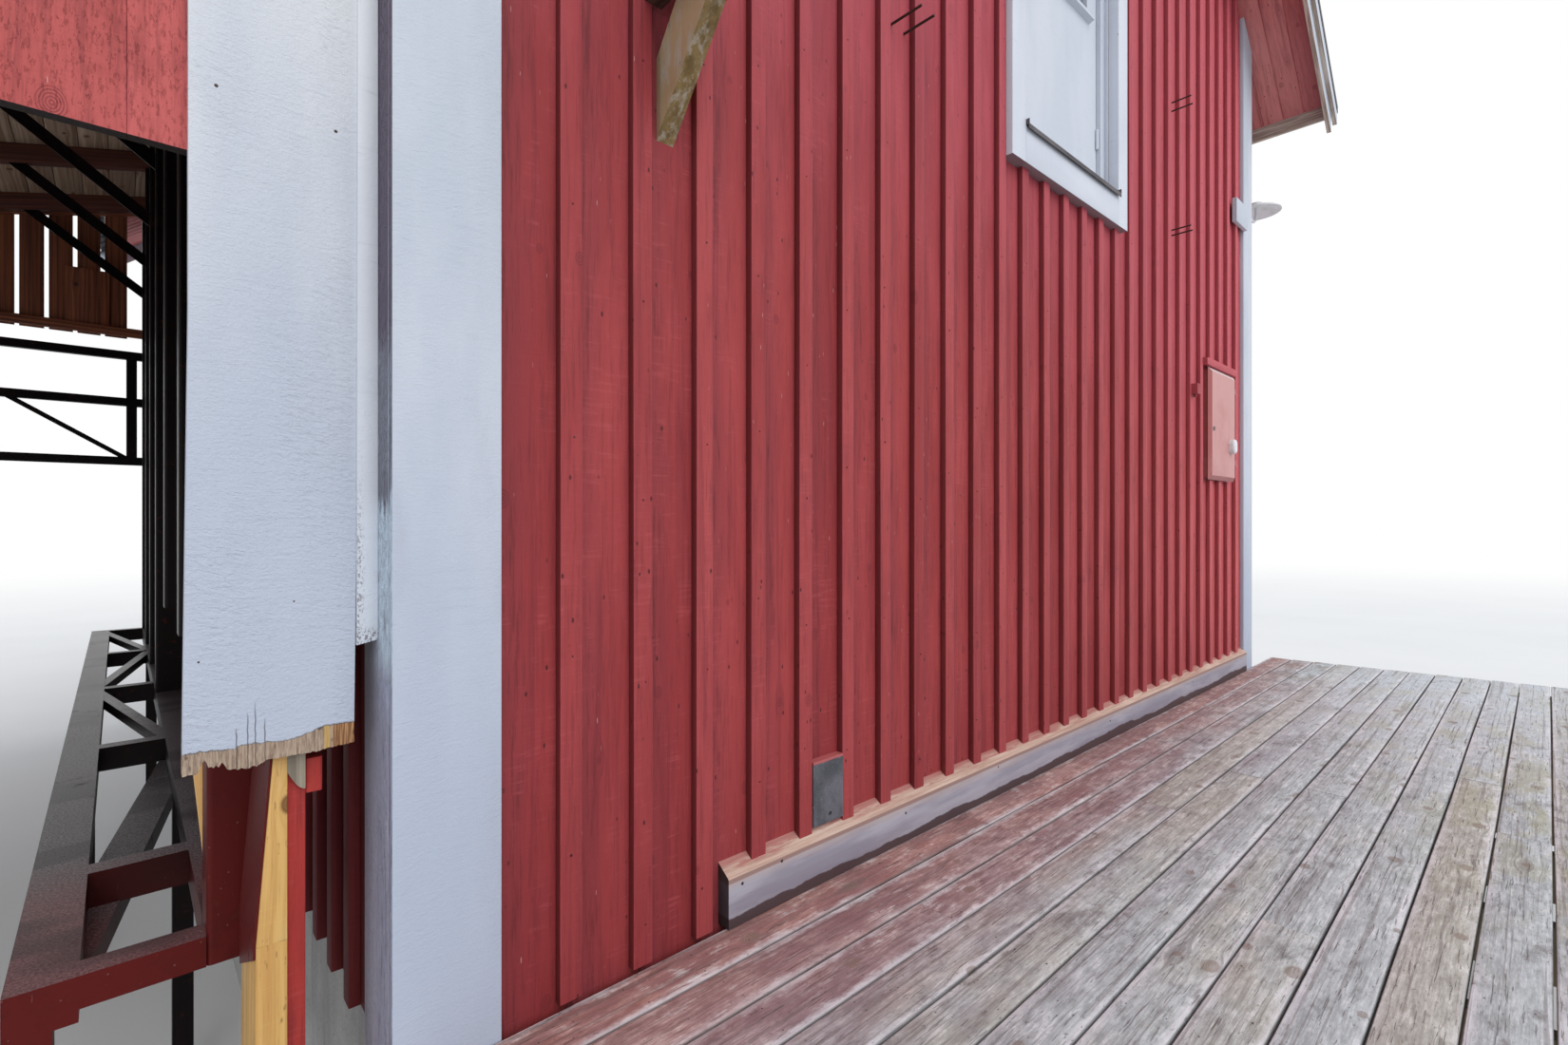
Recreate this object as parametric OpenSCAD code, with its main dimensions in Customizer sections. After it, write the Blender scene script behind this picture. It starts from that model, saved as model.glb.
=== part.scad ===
// Timber boathouse: a gabled board-and-batten house on a concrete plinth, a lean-to boat bay of dark
// steelwork on its left side and a timber deck before its gable. Millimetres. +Z is up, +Y runs from the
// front gable to the lake, and the origin is on the ground under the middle of the front gable's plinth.

/* [House] */
// Width over the corner boards
house_w = 5250; // [4400:10:6300]
// Length between the cladding faces of the two gables
house_l = 8756; // [7200:4:10600]
// Level of the deck above the ground
deck_z = 1100; // [900:10:1400]
// Height of the roof's underside above the deck at the corners
eave_h = 4150; // [3900:10:4900]
// Pitch of the house roof in degrees
pitch = 38; // [32:1:45]
// Thickness of a wall from its lining to its cladding boards
wall_t = 145; // [120:5:200]
// Thickness of the concrete plinth
plinth_t = 200; // [160:10:260]
// How far the cladding stands outside the plinth
drip_out = 25; // [10:5:60]
// How far the cladding hangs below the deck's top
skirt_drop = 25; // [10:5:60]

/* [Cladding] */
// Battens on a gable
gable_batten_n = 28; // [20:2:34]
// Battens on a side wall
side_batten_n = 50; // [40:1:60]
// Width of a batten
batten_w = 48; // [38:1:60]
// Thickness of a batten
batten_t = 22; // [16:1:30]
// Distance from the house's corner to the first batten
batten_edge = 310; // [260:5:400]
// Width of a corner board
corner_w = 190; // [145:5:240]
// Thickness of a corner board
corner_t = 25; // [22:1:35]
// Height of the grey sill board at the cladding
sill_h = 152; // [120:2:200]
// Thickness of the sill board
sill_t = 42; // [34:1:56]
// Slope of the sill board's top in degrees
sill_slope = 35; // [15:1:45]
// Distance from the left corner to the end of the sill board
sill_start = 730; // [600:10:1000]

/* [Roof] */
// Depth of the boarded roof deck, square to the slope
roof_t = 58; // [50:1:120]
// Eaves overhang beyond the corner
eave_out = 423; // [300:1:600]
// Verge overhang beyond the batten faces
verge_out = 381; // [250:1:450]
// Depth of the fascia boards
fascia_h = 163; // [140:1:240]
// Thickness of the fascia and barge boards
trim_t = 24; // [20:1:35]
// Depth of the lower barge board, square to the slope
barge_h = 150; // [120:5:200]
// Depth of the upper barge board, square to the slope
barge_upper_h = 98; // [80:1:120]
// How far the lower barge board hangs below the soffit
barge_drop = 118; // [20:1:130]
// Spacing of the ribs of the roof sheet
rib_pitch = 200; // [150:10:260]
// Height of a rib of the roof sheet
rib_h = 20; // [12:1:30]
// Thickness of the roof sheet
sheet_t = 3; // [2:0.5:5]

/* [Loft doors] */
// Width over the door casing
casing_w = 1050; // [940:10:1100]
// Distance from the house's middle to the door's, to the right
door_x = -43; // [-60:1:60]
// Width of a side casing
casing_side = 100; // [80:5:120]
// Depth of the bottom casing
casing_low = 140; // [110:5:180]
// How far the casing stands proud of the battens
casing_proud = 25; // [15:1:40]
// Height of the casing's bottom above the deck
door_low = 2343; // [2200:1:2600]
// Height over the door casing
casing_h = 2170; // [1900:10:2300]
// Thickness of the door frame's jambs
jamb_t = 45; // [35:1:60]
// Depth of the door frame's sill
door_sill_h = 84; // [60:2:110]
// Depth of the reveal from the casing's face to the leaf
reveal = 84; // [70:2:110]
// Thickness of the door leaf
leaf_t = 44; // [36:1:56]
// Height of the glass above the leaf's bottom
glass_low = 720; // [600:10:900]
// Width of a rail or stile beside the glass
stile_w = 95; // [70:5:130]

/* [Meter cabinet] */
// Width of the cabinet's door
cab_w = 487; // [440:1:500]
// Height of the cabinet's door
cab_h = 660; // [560:10:720]
// Distance from the house's centre line to the cabinet's left side
cab_x = 1686; // [1660:1:1690]
// Height of the cabinet's bottom above the deck
cab_z = 1230; // [1000:10:1400]
// How far the closed door stands proud of the battens
cab_proud = 27; // [24:1:60]
// Width of the bevel round the door
cab_bevel = 24; // [12:1:30]
// Depth of the door's pan
cab_pan = 17; // [12:1:22]
// Clearance between the door and the cabinet's collar
cab_gap = 6; // [5:0.5:9]
// Thickness of the cabinet's walls
cab_t = 4; // [2:0.5:6]
// Diameter of the hinge pins
hinge_d = 6; // [4:0.5:8]
// Radial clearance round a hinge pin
hinge_gap = 0.5; // [0.3:0.1:0.8]

/* [Fittings] */
// Diameter of the iron pins in the wall
pin_d = 8; // [6:1:12]
// How far the iron pins stand out of the cladding
pin_out = 115; // [90:5:140]
// Thickness of the timber wall bracket
bracket_t = 45; // [38:1:60]
// Distance from the left corner to the bracket's middle
bracket_x = 575; // [540:1:600]
// Height of the bracket's lower tip above the deck
bracket_z = 1860; // [1700:10:2000]
// Slope of the bracket's brace in degrees
bracket_angle = 50; // [42:1:55]
// Depth of the brace
bracket_d = 120; // [90:5:140]
// Reach of the planks that the brace carries
bracket_reach = 480; // [440:10:700]

/* [Boat bay] */
// Clear width between the two rows of columns
bay_w = 2560; // [2300:10:3000]
// Length of the bay from its front boards to its lake end
bay_l = 5600; // [4700:10:6700]
// Columns in a row
column_n = 7; // [4:1:8]
// Width of a column's flange
column_w = 100; // [80:5:120]
// Thickness of a column's web and flanges
column_t = 8; // [6:1:12]
// Height above the deck of the cut feet of the columns that the wall carries
column_cut = 666; // [560:2:900]
// Distance from the house's corner to the inner columns
column_x = 124; // [110:2:180]
// Pitch of the bay roof in degrees
bay_pitch = 14.5; // [10:0.5:16]
// Height of the rafters' underside above the deck, at the inner columns
bay_h = 3260; // [2950:10:3350]
// Depth of a bay rafter
rafter_h = 110; // [90:5:130]
// Width of a bay rafter
rafter_w = 60; // [45:5:80]
// Overhang of the bay roof past the outer columns
bay_eave = 270; // [200:10:400]
// Height of the opening's top above the deck
lintel_h = 1584; // [1500:2:1800]
// Distance from the batten faces back to the bay's front
bay_back = 90; // [70:5:140]
// Width of the white post board
post_board_w = 238; // [200:2:250]
// Height of the post board's raw end above the deck
post_board_low = 585; // [500:5:700]
// Width of the white cover strip against the house
strip_w = 28; // [20:1:40]
// Height of the strip's end above the deck
strip_low = 772; // [700:2:900]
// Width of a slat at the lake end
slat_w = 118; // [100:2:130]
// Spacing of the slats
slat_pitch = 141; // [134:1:160]
// Height of the slats' lower ends above the deck
slat_low = 2320; // [2200:10:2500]
// Level of the ladder frame above the deck
ladder_z = 200; // [150:5:300]
// Width over the ladder frame from the columns' inner side
ladder_w = 265; // [220:5:320]
// Spacing of the ladder frame's rungs
ladder_pitch = 1190; // [900:10:1400]
// Depth and width of the girder's bars
girder_bar = 58; // [35:1:60]
// Spacing of the girder's panels
girder_panel = 600; // [450:10:800]

/* [Deck] */
// Width of a deck board
deck_board_w = 120; // [95:1:145]
// Gap between deck boards
deck_gap = 5; // [3:0.5:8]
// Deck boards
deck_n = 16; // [12:1:20]
// Thickness of a deck board
deck_t = 28; // [22:1:45]
// Reach of the first deck board past the right-hand corner
deck_right = 480; // [400:10:900]
// How much further each board runs than the one behind it
deck_skew = 14; // [0:1:20]
// Depth of the joists
joist_h = 145; // [120:5:200]
// Width of the joists
joist_w = 45; // [36:1:70]
// Side of a deck post
deck_post = 95; // [70:5:145]

/* [Hidden] */

// The house's planes: half width, cladding faces, batten face and levels
half_w = house_w / 2;
clad_x = half_w - corner_t;
front_y = -(plinth_t / 2 + drip_out);
back_y = front_y + house_l;
face_y = front_y - batten_t;
mid_y = (front_y + back_y) / 2;
wall_z = deck_z - skirt_drop;
eave_z = deck_z + eave_h;
rise = tan(pitch);
roof_tv = roof_t / cos(pitch);
eave_x = half_w + eave_out;
verge_y = face_y - verge_out;
verge_l = 2 * (mid_y - verge_y);
roof_y = verge_y + 2 * trim_t;
roof_l = verge_l - 4 * trim_t;

// The loft door's opening, in the gable's plane
casing_t = batten_t + casing_proud;
casing_z = deck_z + door_low;
opening_w = casing_w - 2 * casing_side;
opening_z = casing_z + casing_low;
opening_h = casing_h - casing_low - casing_side;
leaf_w = opening_w - 2 * jamb_t;
leaf_z = opening_z + door_sill_h;
leaf_h = opening_h - door_sill_h - jamb_t;
leaf_y = face_y - casing_proud + reveal;
floor_z = opening_z + 10;
floor_board = 28;
floor_joist_h = 170;
floor_joist_w = 45;
glass_t = 6;
drip_mould = 26;
knuckle_d = 14;
seat = 0.3;

// The meter cabinet, and its hinge axis beside the collar
cab_low = deck_z + cab_z;
cab_front = face_y - cab_proud;
cab_collar = cab_front + cab_pan + cab_gap;
collar_in = 12;
cab_depth = 118;
hinge_x = cab_x + cab_w + 14;
hinge_y = cab_front + 10;
hinge_r = 8;
hinge_l = 26;
hinge_z = [0.16, 0.84];
hinge_play = 0.5;
ear_h = 6;
plate_t = 5;
cab_cut = 5;
header_h = 41;
header_t = 25;
header_left = 53;
header_right = 12;
bracket_rise = 287;
bracket_plank_h = 145;

// The boat bay's lines, left of the house
bay_front = face_y + bay_back;
col_in = -half_w - column_x;
col_out = col_in - 2 * column_w - bay_w;
bay_rise = tan(bay_pitch);
bay_level = deck_z + bay_h;
bay_eave_x = col_out - bay_eave;
bay_seat = 0.3;
bay_house_x = -half_w - bay_seat;
rafter_x = -clad_x - batten_t - bay_seat;
bay_board_t = 25;
front_col_y = bay_front + 282;
back_col_y = bay_front + bay_l - column_w;
column_pitch = (back_col_y - front_col_y) / (column_n - 1);
first_standing = ceil(0.45 * column_n - 0.5);
end_beam_h = 58;
post_board_t = 25;
bay_verge = 140;

function roof_under(x) = eave_z + (half_w - abs(x)) * rise;
function bay_under(x) = bay_level + (x - col_in) * bay_rise;
function batten_at(i) = -half_w + batten_edge
    + i * (house_w - 2 * batten_edge - batten_w) / (gable_batten_n - 1);
function side_batten_at(i) = front_y + batten_edge
    + i * (house_l - 2 * batten_edge - batten_w) / (side_batten_n - 1);

// Extrudes an outline drawn in X and Z along Y, from y for l
module along_y(y, l) {
    translate([0, y + l, 0]) rotate([90, 0, 0]) linear_extrude(l) children();
}

// Extrudes an outline drawn in Y and Z along X, from x for l
module along_x(x, l) {
    translate([x, 0, 0]) rotate([90, 0, 90]) linear_extrude(l) children();
}

// A box between two opposite corners
module block(low, high) {
    translate(low) cube(high - low);
}

// A copy at the front gable and one turned round for the back gable
module both_gables() {
    children();
    translate([0, 2 * mid_y, 0]) rotate([0, 0, 180]) children();
}

// A copy on the right and its mirror image on the left
module both_sides() {
    children();
    mirror([1, 0, 0]) children();
}

// A straight bar in a plane of X and Z, from a to b, centred on its line
module bar_xz(a, b, depth, y, t) {
    along = b - a;
    translate([a[0], y, a[1]])
        rotate([0, -atan2(along[1], along[0]), 0])
            translate([0, 0, -depth / 2]) cube([norm(along), t, depth]);
}

// A straight bar lying flat, from a to b in X and Y, centred on its line
module bar_xy(a, b, width, z, t) {
    along = b - a;
    translate([a[0], a[1], z])
        rotate([0, 0, atan2(along[1], along[0])])
            translate([0, -width / 2, 0]) cube([norm(along), width, t]);
}

module plinth() {
    color("darkgray") difference() {
        block([-clad_x + drip_out, front_y + drip_out, 0], [clad_x - drip_out, back_y - drip_out, wall_z]);
        block([-clad_x + drip_out + plinth_t, front_y + drip_out + plinth_t, -1],
            [clad_x - drip_out - plinth_t, back_y - drip_out - plinth_t, wall_z + 1]);
    }
}

// The gable's outline up to the underside of the roof
module gable_outline() {
    polygon([
        [-clad_x, wall_z], [clad_x, wall_z], [clad_x, roof_under(clad_x)],
        [0, roof_under(0)], [-clad_x, roof_under(clad_x)]
    ]);
}

// Shifts what belongs to a loft door to the door's middle
module at_door() {
    translate([door_x, 0, 0]) children();
}

module gable_wall() {
    difference() {
        along_y(front_y, wall_t) gable_outline();
        at_door() block([-opening_w / 2, front_y - 1, opening_z],
            [opening_w / 2, front_y + wall_t + 1, opening_z + opening_h]);
    }
}

module front_wall() {
    color("firebrick") difference() {
        gable_wall();
        block([cab_x + collar_in, front_y - 1, cab_low + collar_in],
            [cab_x + cab_w - collar_in, cab_collar + cab_depth, cab_low + cab_h - collar_in]);
    }
}

module back_wall() {
    color("firebrick") translate([0, 2 * mid_y, 0]) rotate([0, 0, 180]) gable_wall();
}

module side_wall() {
    along_y(front_y + wall_t, house_l - 2 * wall_t) polygon([
        [clad_x - wall_t, wall_z], [clad_x, wall_z],
        [clad_x, roof_under(clad_x)], [clad_x - wall_t, roof_under(clad_x - wall_t)]
    ]);
}

module left_wall() {
    color("firebrick") mirror([1, 0, 0]) side_wall();
}

module right_wall() {
    color("firebrick") side_wall();
}

// Battens of one gable, cut to the roof's slope, standing on z_low or on the sill board
module gable_batten_row(low_n, low_z, rest_z) {
    for (i = [0 : gable_batten_n - 1]) {
        x = batten_at(i);
        z = i < low_n ? low_z : rest_z;
        along_y(face_y, batten_t) polygon([
            [x, z], [x + batten_w, z], [x + batten_w, roof_under(x + batten_w)], [x, roof_under(x)]
        ]);
    }
}

module casing_void() {
    at_door() block([-casing_w / 2, face_y - 1, casing_z], [casing_w / 2, front_y + 1, casing_z + casing_h]);
}

module gable_battens() {
    low_n = ceil((sill_start - batten_edge) / (batten_at(1) - batten_at(0)));
    color("firebrick") {
        difference() {
            gable_batten_row(low_n, deck_z + 4, deck_z + 4);
            casing_void();
            sill_board_solid();
            block([-half_w + sill_start, front_y - batten_t - 1, deck_z], [half_w, front_y + 1, deck_z + 6]);
            block([cab_x - cab_cut, face_y - 1, cab_low - cab_cut],
                [cab_x + cab_w + cab_cut, front_y + 1, cab_low + cab_h + cab_cut]);
        }
        translate([0, 2 * mid_y, 0]) rotate([0, 0, 180]) difference() {
            gable_batten_row(gable_batten_n, wall_z, wall_z);
            casing_void();
        }
    }
}

module side_battens() {
    color("firebrick") both_sides() for (i = [0 : side_batten_n - 1]) {
        block([clad_x, side_batten_at(i), wall_z],
            [clad_x + batten_t, side_batten_at(i) + batten_w, roof_under(clad_x + batten_t)]);
    }
}

// Two boards that lap at each corner, the gable's over the side wall's
module corner_boards() {
    color("gainsboro") both_gables() both_sides() {
        along_y(front_y - corner_t, corner_t) polygon([
            [half_w - corner_w, wall_z], [half_w, wall_z],
            [half_w, roof_under(half_w)], [half_w - corner_w, roof_under(half_w - corner_w)]
        ]);
        block([clad_x, front_y + 0.3, wall_z],
            [half_w, front_y - corner_t + corner_w, roof_under(half_w)]);
    }
}

// The drip board at the foot of the front gable, its top cut to a slope
module sill_board() {
    color("darkgray") sill_board_solid();
}

module sill_board_solid() {
    along_x(-half_w + sill_start, house_w - sill_start - corner_w) polygon([
        [front_y, deck_z + 2], [front_y - sill_t, deck_z + 2],
        [front_y - sill_t, deck_z + sill_h - sill_t * tan(sill_slope)], [front_y, deck_z + sill_h]
    ]);
}

// Boards on joists that hang between the side walls
module loft_floor() {
    x = clad_x - wall_t;
    y = front_y + wall_t;
    l = house_l - 2 * wall_t;
    n = 14;
    color("burlywood") {
        block([-x, y, floor_z - floor_board], [x, y + l, floor_z]);
        for (i = [0 : n - 1]) {
            joist_y = y + i * (l - floor_joist_w) / (n - 1);
            block([-x, joist_y, floor_z - floor_board - floor_joist_h],
                [x, joist_y + floor_joist_w, floor_z - floor_board]);
        }
    }
}

// One slope of the roof deck, with a plumb cut at the ridge and the eaves
module roof_deck() {
    along_y(roof_y, roof_l) polygon([
        [0, roof_under(0)], [eave_x, roof_under(eave_x)],
        [eave_x, roof_under(eave_x) + roof_tv], [0, roof_under(0) + roof_tv]
    ]);
}

module roof_deck_left() {
    color("indianred") mirror([1, 0, 0]) roof_deck();
}

module roof_deck_right() {
    color("indianred") roof_deck();
}

// The outline of a ribbed sheet: flat pans between ribs that taper to their tops
module rib_profile(length, spacing) {
    n = floor(length / spacing);
    first = (length - n * spacing) / 2;
    top_w = spacing * 0.16;
    foot_w = spacing * 0.3;
    path = [for (i = [0 : n - 1]) let (c = first + (i + 0.5) * spacing) each [
        [c - foot_w / 2, 0], [c - top_w / 2, rib_h], [c + top_w / 2, rib_h], [c + foot_w / 2, 0]
    ]];
    upper = concat([[0, 0]], path, [[length, 0]]);
    under = [for (i = [len(upper) - 1 : -1 : 0]) [upper[i][0], upper[i][1] - sheet_t]];
    polygon(concat(upper, under));
}

// A ribbed sheet that runs down a slope from the point top, for length l
module sloped_sheet(top, angle, y, width, l) {
    translate([top[0], y, top[1]]) rotate([0, angle, 0])
        translate([0, 0, sheet_t]) rotate([90, 0, 90]) linear_extrude(l) rib_profile(width, rib_pitch);
}

module roof_sheets() {
    l = (eave_x + trim_t + 40) / cos(pitch) - 60;
    color("dimgray") both_sides() {
        sloped_sheet([47, roof_under(47) + roof_tv], pitch, roof_y, roof_l, l);
    }
}

// The folded ridge cap over both sheets, and a strip along each barge board
module roof_cappings() {
    cap = 170;
    t = 4;
    lift = (sheet_t + rib_h) / cos(pitch);
    low = roof_under(0) + roof_tv + lift;
    strip = 8;
    leg = 47;
    leg_t = 3;
    reach = eave_x + trim_t + 70;
    color("dimgray") {
        along_y(verge_y - leg_t - seat, verge_l + 2 * (leg_t + seat)) polygon([
            [-cap, low - cap * rise], [0, low], [cap, low - cap * rise],
            [cap, low - cap * rise + t / cos(pitch)], [0, low + t / cos(pitch)],
            [-cap, low - cap * rise + t / cos(pitch)]
        ]);
        both_gables() both_sides() {
            along_y(verge_y - leg_t - seat, 2 * trim_t + leg_t + seat)
                verge_strip(cap + 5, reach, seat, strip - seat);
            along_y(verge_y - leg_t - seat, leg_t) verge_strip(cap + 5, reach, strip - leg, leg);
        }
    }
}

// A strip of depth t along the verge, from x0 to x1, standing lift above the roof deck's top
module verge_strip(x0, x1, lift, t) {
    polygon([
        [x0, roof_under(x0) + roof_tv + lift], [x1, roof_under(x1) + roof_tv + lift],
        [x1, roof_under(x1) + roof_tv + lift + t], [x0, roof_under(x0) + roof_tv + lift + t]
    ]);
}

// One barge board that follows the slope; top is its distance below the roof deck's top
module barge(y, height, top, reach) {
    tv = height / cos(pitch);
    high = roof_tv - top / cos(pitch);
    along_y(y, trim_t) polygon([
        [0.5, roof_under(0.5) + high - tv], [reach, roof_under(reach) + high - tv],
        [reach, roof_under(reach) + high], [0.5, roof_under(0.5) + high]
    ]);
}

module barge_boards() {
    lower_top = max(roof_t + barge_drop - barge_h, 0);
    color("gainsboro") both_gables() both_sides() {
        barge(verge_y + trim_t, barge_h, lower_top, eave_x + trim_t + 12);
        barge(verge_y, barge_upper_h, 0, eave_x + trim_t + 60);
    }
}

module fascia_boards() {
    top = roof_under(eave_x) + roof_tv;
    color("gainsboro") both_sides() along_y(roof_y, roof_l) polygon([
        [eave_x, top - fascia_h], [eave_x + trim_t, top - fascia_h],
        [eave_x + trim_t, top - trim_t * rise], [eave_x, top]
    ]);
}

// The casing round a loft door, a board's width on every side
module door_casings() {
    color("gainsboro") both_gables() at_door() difference() {
        block([-casing_w / 2, face_y - casing_proud, casing_z],
            [casing_w / 2, front_y, casing_z + casing_h]);
        block([-opening_w / 2, face_y - casing_proud - 1, opening_z],
            [opening_w / 2, front_y + 1, opening_z + opening_h]);
    }
}

module door_frames() {
    color("gainsboro") both_gables() at_door() difference() {
        block([-opening_w / 2, leaf_y - 20, opening_z],
            [opening_w / 2, front_y + wall_t, opening_z + opening_h]);
        block([-leaf_w / 2, leaf_y - 21, leaf_z], [leaf_w / 2, front_y + wall_t + 1, leaf_z + leaf_h]);
    }
}

// A leaf with a flat lower panel, a glazed upper part and a drip moulding under the glass
module door_leaves() {
    fit = 3;
    x = leaf_w / 2 - fit;
    color("white") both_gables() at_door() {
        difference() {
            block([-x, leaf_y, leaf_z + fit], [x, leaf_y + leaf_t, leaf_z + leaf_h - fit]);
            block([-x + stile_w, leaf_y - 1, leaf_z + glass_low],
                [x - stile_w, leaf_y + leaf_t + 1, leaf_z + leaf_h - stile_w]);
        }
        along_x(-x + stile_w - 20, 2 * (x - stile_w) + 40) polygon([
            [leaf_y, leaf_z + glass_low - drip_mould - 12], [leaf_y, leaf_z + glass_low - 4],
            [leaf_y - drip_mould, leaf_z + glass_low - 16],
            [leaf_y - drip_mould, leaf_z + glass_low - drip_mould - 4]
        ]);
        for (h = [0.1, 0.5, 0.9]) {
            knuckle_y = leaf_y - knuckle_d / 2 - seat;
            translate([leaf_w / 2 - knuckle_d / 2 - seat, knuckle_y, leaf_z + h * leaf_h - 45])
                cylinder(h = 90, d = knuckle_d, $fn = 32);
        }
    }
}

module door_glass() {
    x = leaf_w / 2 - 3 - stile_w;
    mid = leaf_y + leaf_t / 2;
    color("lightsteelblue") both_gables() at_door() block([-x, mid - glass_t / 2, leaf_z + glass_low],
        [x, mid + glass_t / 2, leaf_z + leaf_h - stile_w]);
}

// The metal flashing on the bottom casing, turned up at its ends
module door_thresholds() {
    t = 3;
    x = opening_w / 2 - 0.3;
    y = leaf_y - 20 - 0.3;
    lip = face_y - casing_proud - 10;
    color("dimgray") both_gables() at_door() {
        along_x(-x, 2 * x) polygon([
            [lip, opening_z - 14], [lip - t, opening_z - 14], [lip - t, opening_z + t + 0.3],
            [y, opening_z + t + 6], [y, opening_z + 6], [lip, opening_z + 0.3]
        ]);
        both_sides() block([x - t, lip - t, opening_z + 0.3], [x, y, opening_z + 22]);
    }
}

// An open steel box let into the wall, with the brackets and pins that the door hangs on
module meter_cabinet() {
    x = [cab_x + collar_in, cab_x + cab_w - collar_in];
    z = [cab_low + collar_in, cab_low + cab_h - collar_in];
    color("rosybrown") {
        difference() {
            block([x[0], cab_collar, z[0]], [x[1], cab_collar + cab_depth, z[1]]);
            block([x[0] + cab_t, cab_collar - 1, z[0] + cab_t],
                [x[1] - cab_t, cab_collar + cab_depth - cab_t, z[1] - cab_t]);
        }
        for (s = hinge_z) {
            pin_z = cab_low + s * cab_h;
            block([x[1] - cab_t, cab_collar, pin_z - hinge_l - ear_h],
                [hinge_x + hinge_r, cab_collar + plate_t, pin_z - ear_h]);
            block([hinge_x - hinge_r, hinge_y - hinge_r, pin_z - ear_h],
                [hinge_x + hinge_r, cab_collar + plate_t, pin_z]);
            translate([hinge_x, hinge_y, pin_z]) cylinder(h = hinge_l + 4, d = hinge_d, $fn = 32);
        }
    }
}

// The door's outline with sides that slope in to its front, made smaller all round by inset
module bevelled_pan(inset, back) {
    x = [cab_x + inset, cab_x + cab_w - inset];
    z = [cab_low + inset, cab_low + cab_h - inset];
    front = cab_front + inset;
    intersection() {
        along_x(x[0], x[1] - x[0]) polygon([
            [back, z[0]], [back, z[1]], [front, z[1] - cab_bevel], [front, z[0] + cab_bevel]
        ]);
        translate([0, 0, z[0]]) linear_extrude(z[1] - z[0]) polygon([
            [x[0], back], [x[1], back], [x[1] - cab_bevel, front], [x[0] + cab_bevel, front]
        ]);
    }
}

// The door: a hollow bevelled pan, and two knuckles bored for the pins
module cabinet_door() {
    back = cab_front + cab_pan;
    side = cab_x + cab_w - 0.6 * cab_bevel;
    color("rosybrown") difference() {
        union() {
            difference() {
                bevelled_pan(0, back);
                bevelled_pan(cab_t, back + 0.1);
            }
            for (s = hinge_z) {
                pin_z = cab_low + s * cab_h + hinge_play;
                translate([hinge_x, hinge_y, pin_z]) cylinder(h = hinge_l, r = hinge_r, $fn = 48);
                block([side, hinge_y - 3, pin_z], [hinge_x, hinge_y + 3, pin_z + hinge_l]);
            }
        }
        for (s = hinge_z) {
            translate([hinge_x, hinge_y, cab_low + s * cab_h - 1])
                cylinder(h = hinge_l + 4, r = hinge_d / 2 + hinge_gap, $fn = 32);
        }
    }
}

module cabinet_lock() {
    centre = [cab_x + 53, cab_front, cab_low + 0.456 * cab_h];
    color("silver") translate(centre) rotate([90, 0, 0]) difference() {
        cylinder(h = 7, d = 24, $fn = 48);
        translate([-2, -7, 4]) cube([4, 14, 4]);
    }
}

// A rounded white cover low on the door: two half domes joined by a straight middle
module cabinet_dome() {
    r = 33;
    h = 32;
    round_r = 14;
    straight = 24;
    side = [for (a = [0 : 10 : 90]) [r - round_r + round_r * cos(a), h - round_r + round_r * sin(a)]];
    right = concat([[r, 0]], side);
    left = [for (i = [len(right) - 1 : -1 : 0]) [-right[i][0], right[i][1]]];
    color("white") translate([cab_x + cab_w - 112, cab_front, cab_low + 0.323 * cab_h]) rotate([90, 0, 0]) {
        for (s = [-1, 1]) {
            translate([0, s * straight / 2, 0]) rotate_extrude($fn = 64)
                polygon(concat([[0, 0]], right, [[0, h]]));
        }
        translate([0, straight / 2, 0]) rotate([90, 0, 0]) linear_extrude(straight)
            polygon(concat(right, left));
    }
}

// A strip nailed on the battens over the cabinet, its top sloped to shed rain
module cabinet_header() {
    z = cab_low + cab_h + cab_cut;
    color("firebrick") along_x(cab_x - header_left, cab_w + header_left + header_right) polygon([
        [face_y, z], [face_y - header_t, z], [face_y - header_t, z + header_h - 6], [face_y, z + header_h]
    ]);
}

// A small junction box screwed to a batten, with a gland below it
module wall_socket() {
    x = batten_at(22) + 14;
    z = deck_z + 1699;
    color("firebrick") {
        block([x, face_y - 33, z], [x + 62, face_y, z + 58]);
        translate([x + 18, face_y - 15, z - 16]) cylinder(h = 16, d = 16, $fn = 32);
    }
}

// A timber brace whose foot is cut plumb to bear on the wall
module wall_bracket() {
    x = -half_w + bracket_x - bracket_t / 2;
    z = deck_z + bracket_z;
    top = z + bracket_rise + bracket_plank_h;
    plumb = bracket_d / cos(bracket_angle);
    slope = tan(bracket_angle);
    color("peru") along_x(x, bracket_t) polygon([
        [front_y, z], [front_y, z + plumb], [front_y - (top - z - plumb) / slope, top],
        [front_y - (top - z) / slope, top]
    ]);
}

// The two planks that the brace carries, one on each side of it
module bracket_planks() {
    z = deck_z + bracket_z + bracket_rise;
    color("saddlebrown") for (s = [-1, 1]) {
        x = -half_w + bracket_x + s * bracket_t;
        block([x - bracket_t / 2, face_y - bracket_reach, z],
            [x + bracket_t / 2, face_y, z + bracket_plank_h]);
    }
}

// Pairs of iron pins, each standing out of the cladding
module iron_pins() {
    left = batten_at(6) + batten_w + 30;
    right = batten_at(20) + batten_w + 8;
    places = [
        [left, 2530], [left + 64, 2530], [left, 3217], [left + 22, 3183],
        [right, 2537], [right + 22, 2517], [right, 3217], [right + 22, 3183]
    ];
    color("black") for (p = places) {
        translate([p[0], front_y, p[1] + deck_z]) rotate([90, 0, 0])
            cylinder(h = pin_out, d = pin_d, $fn = 24);
    }
}

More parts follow.
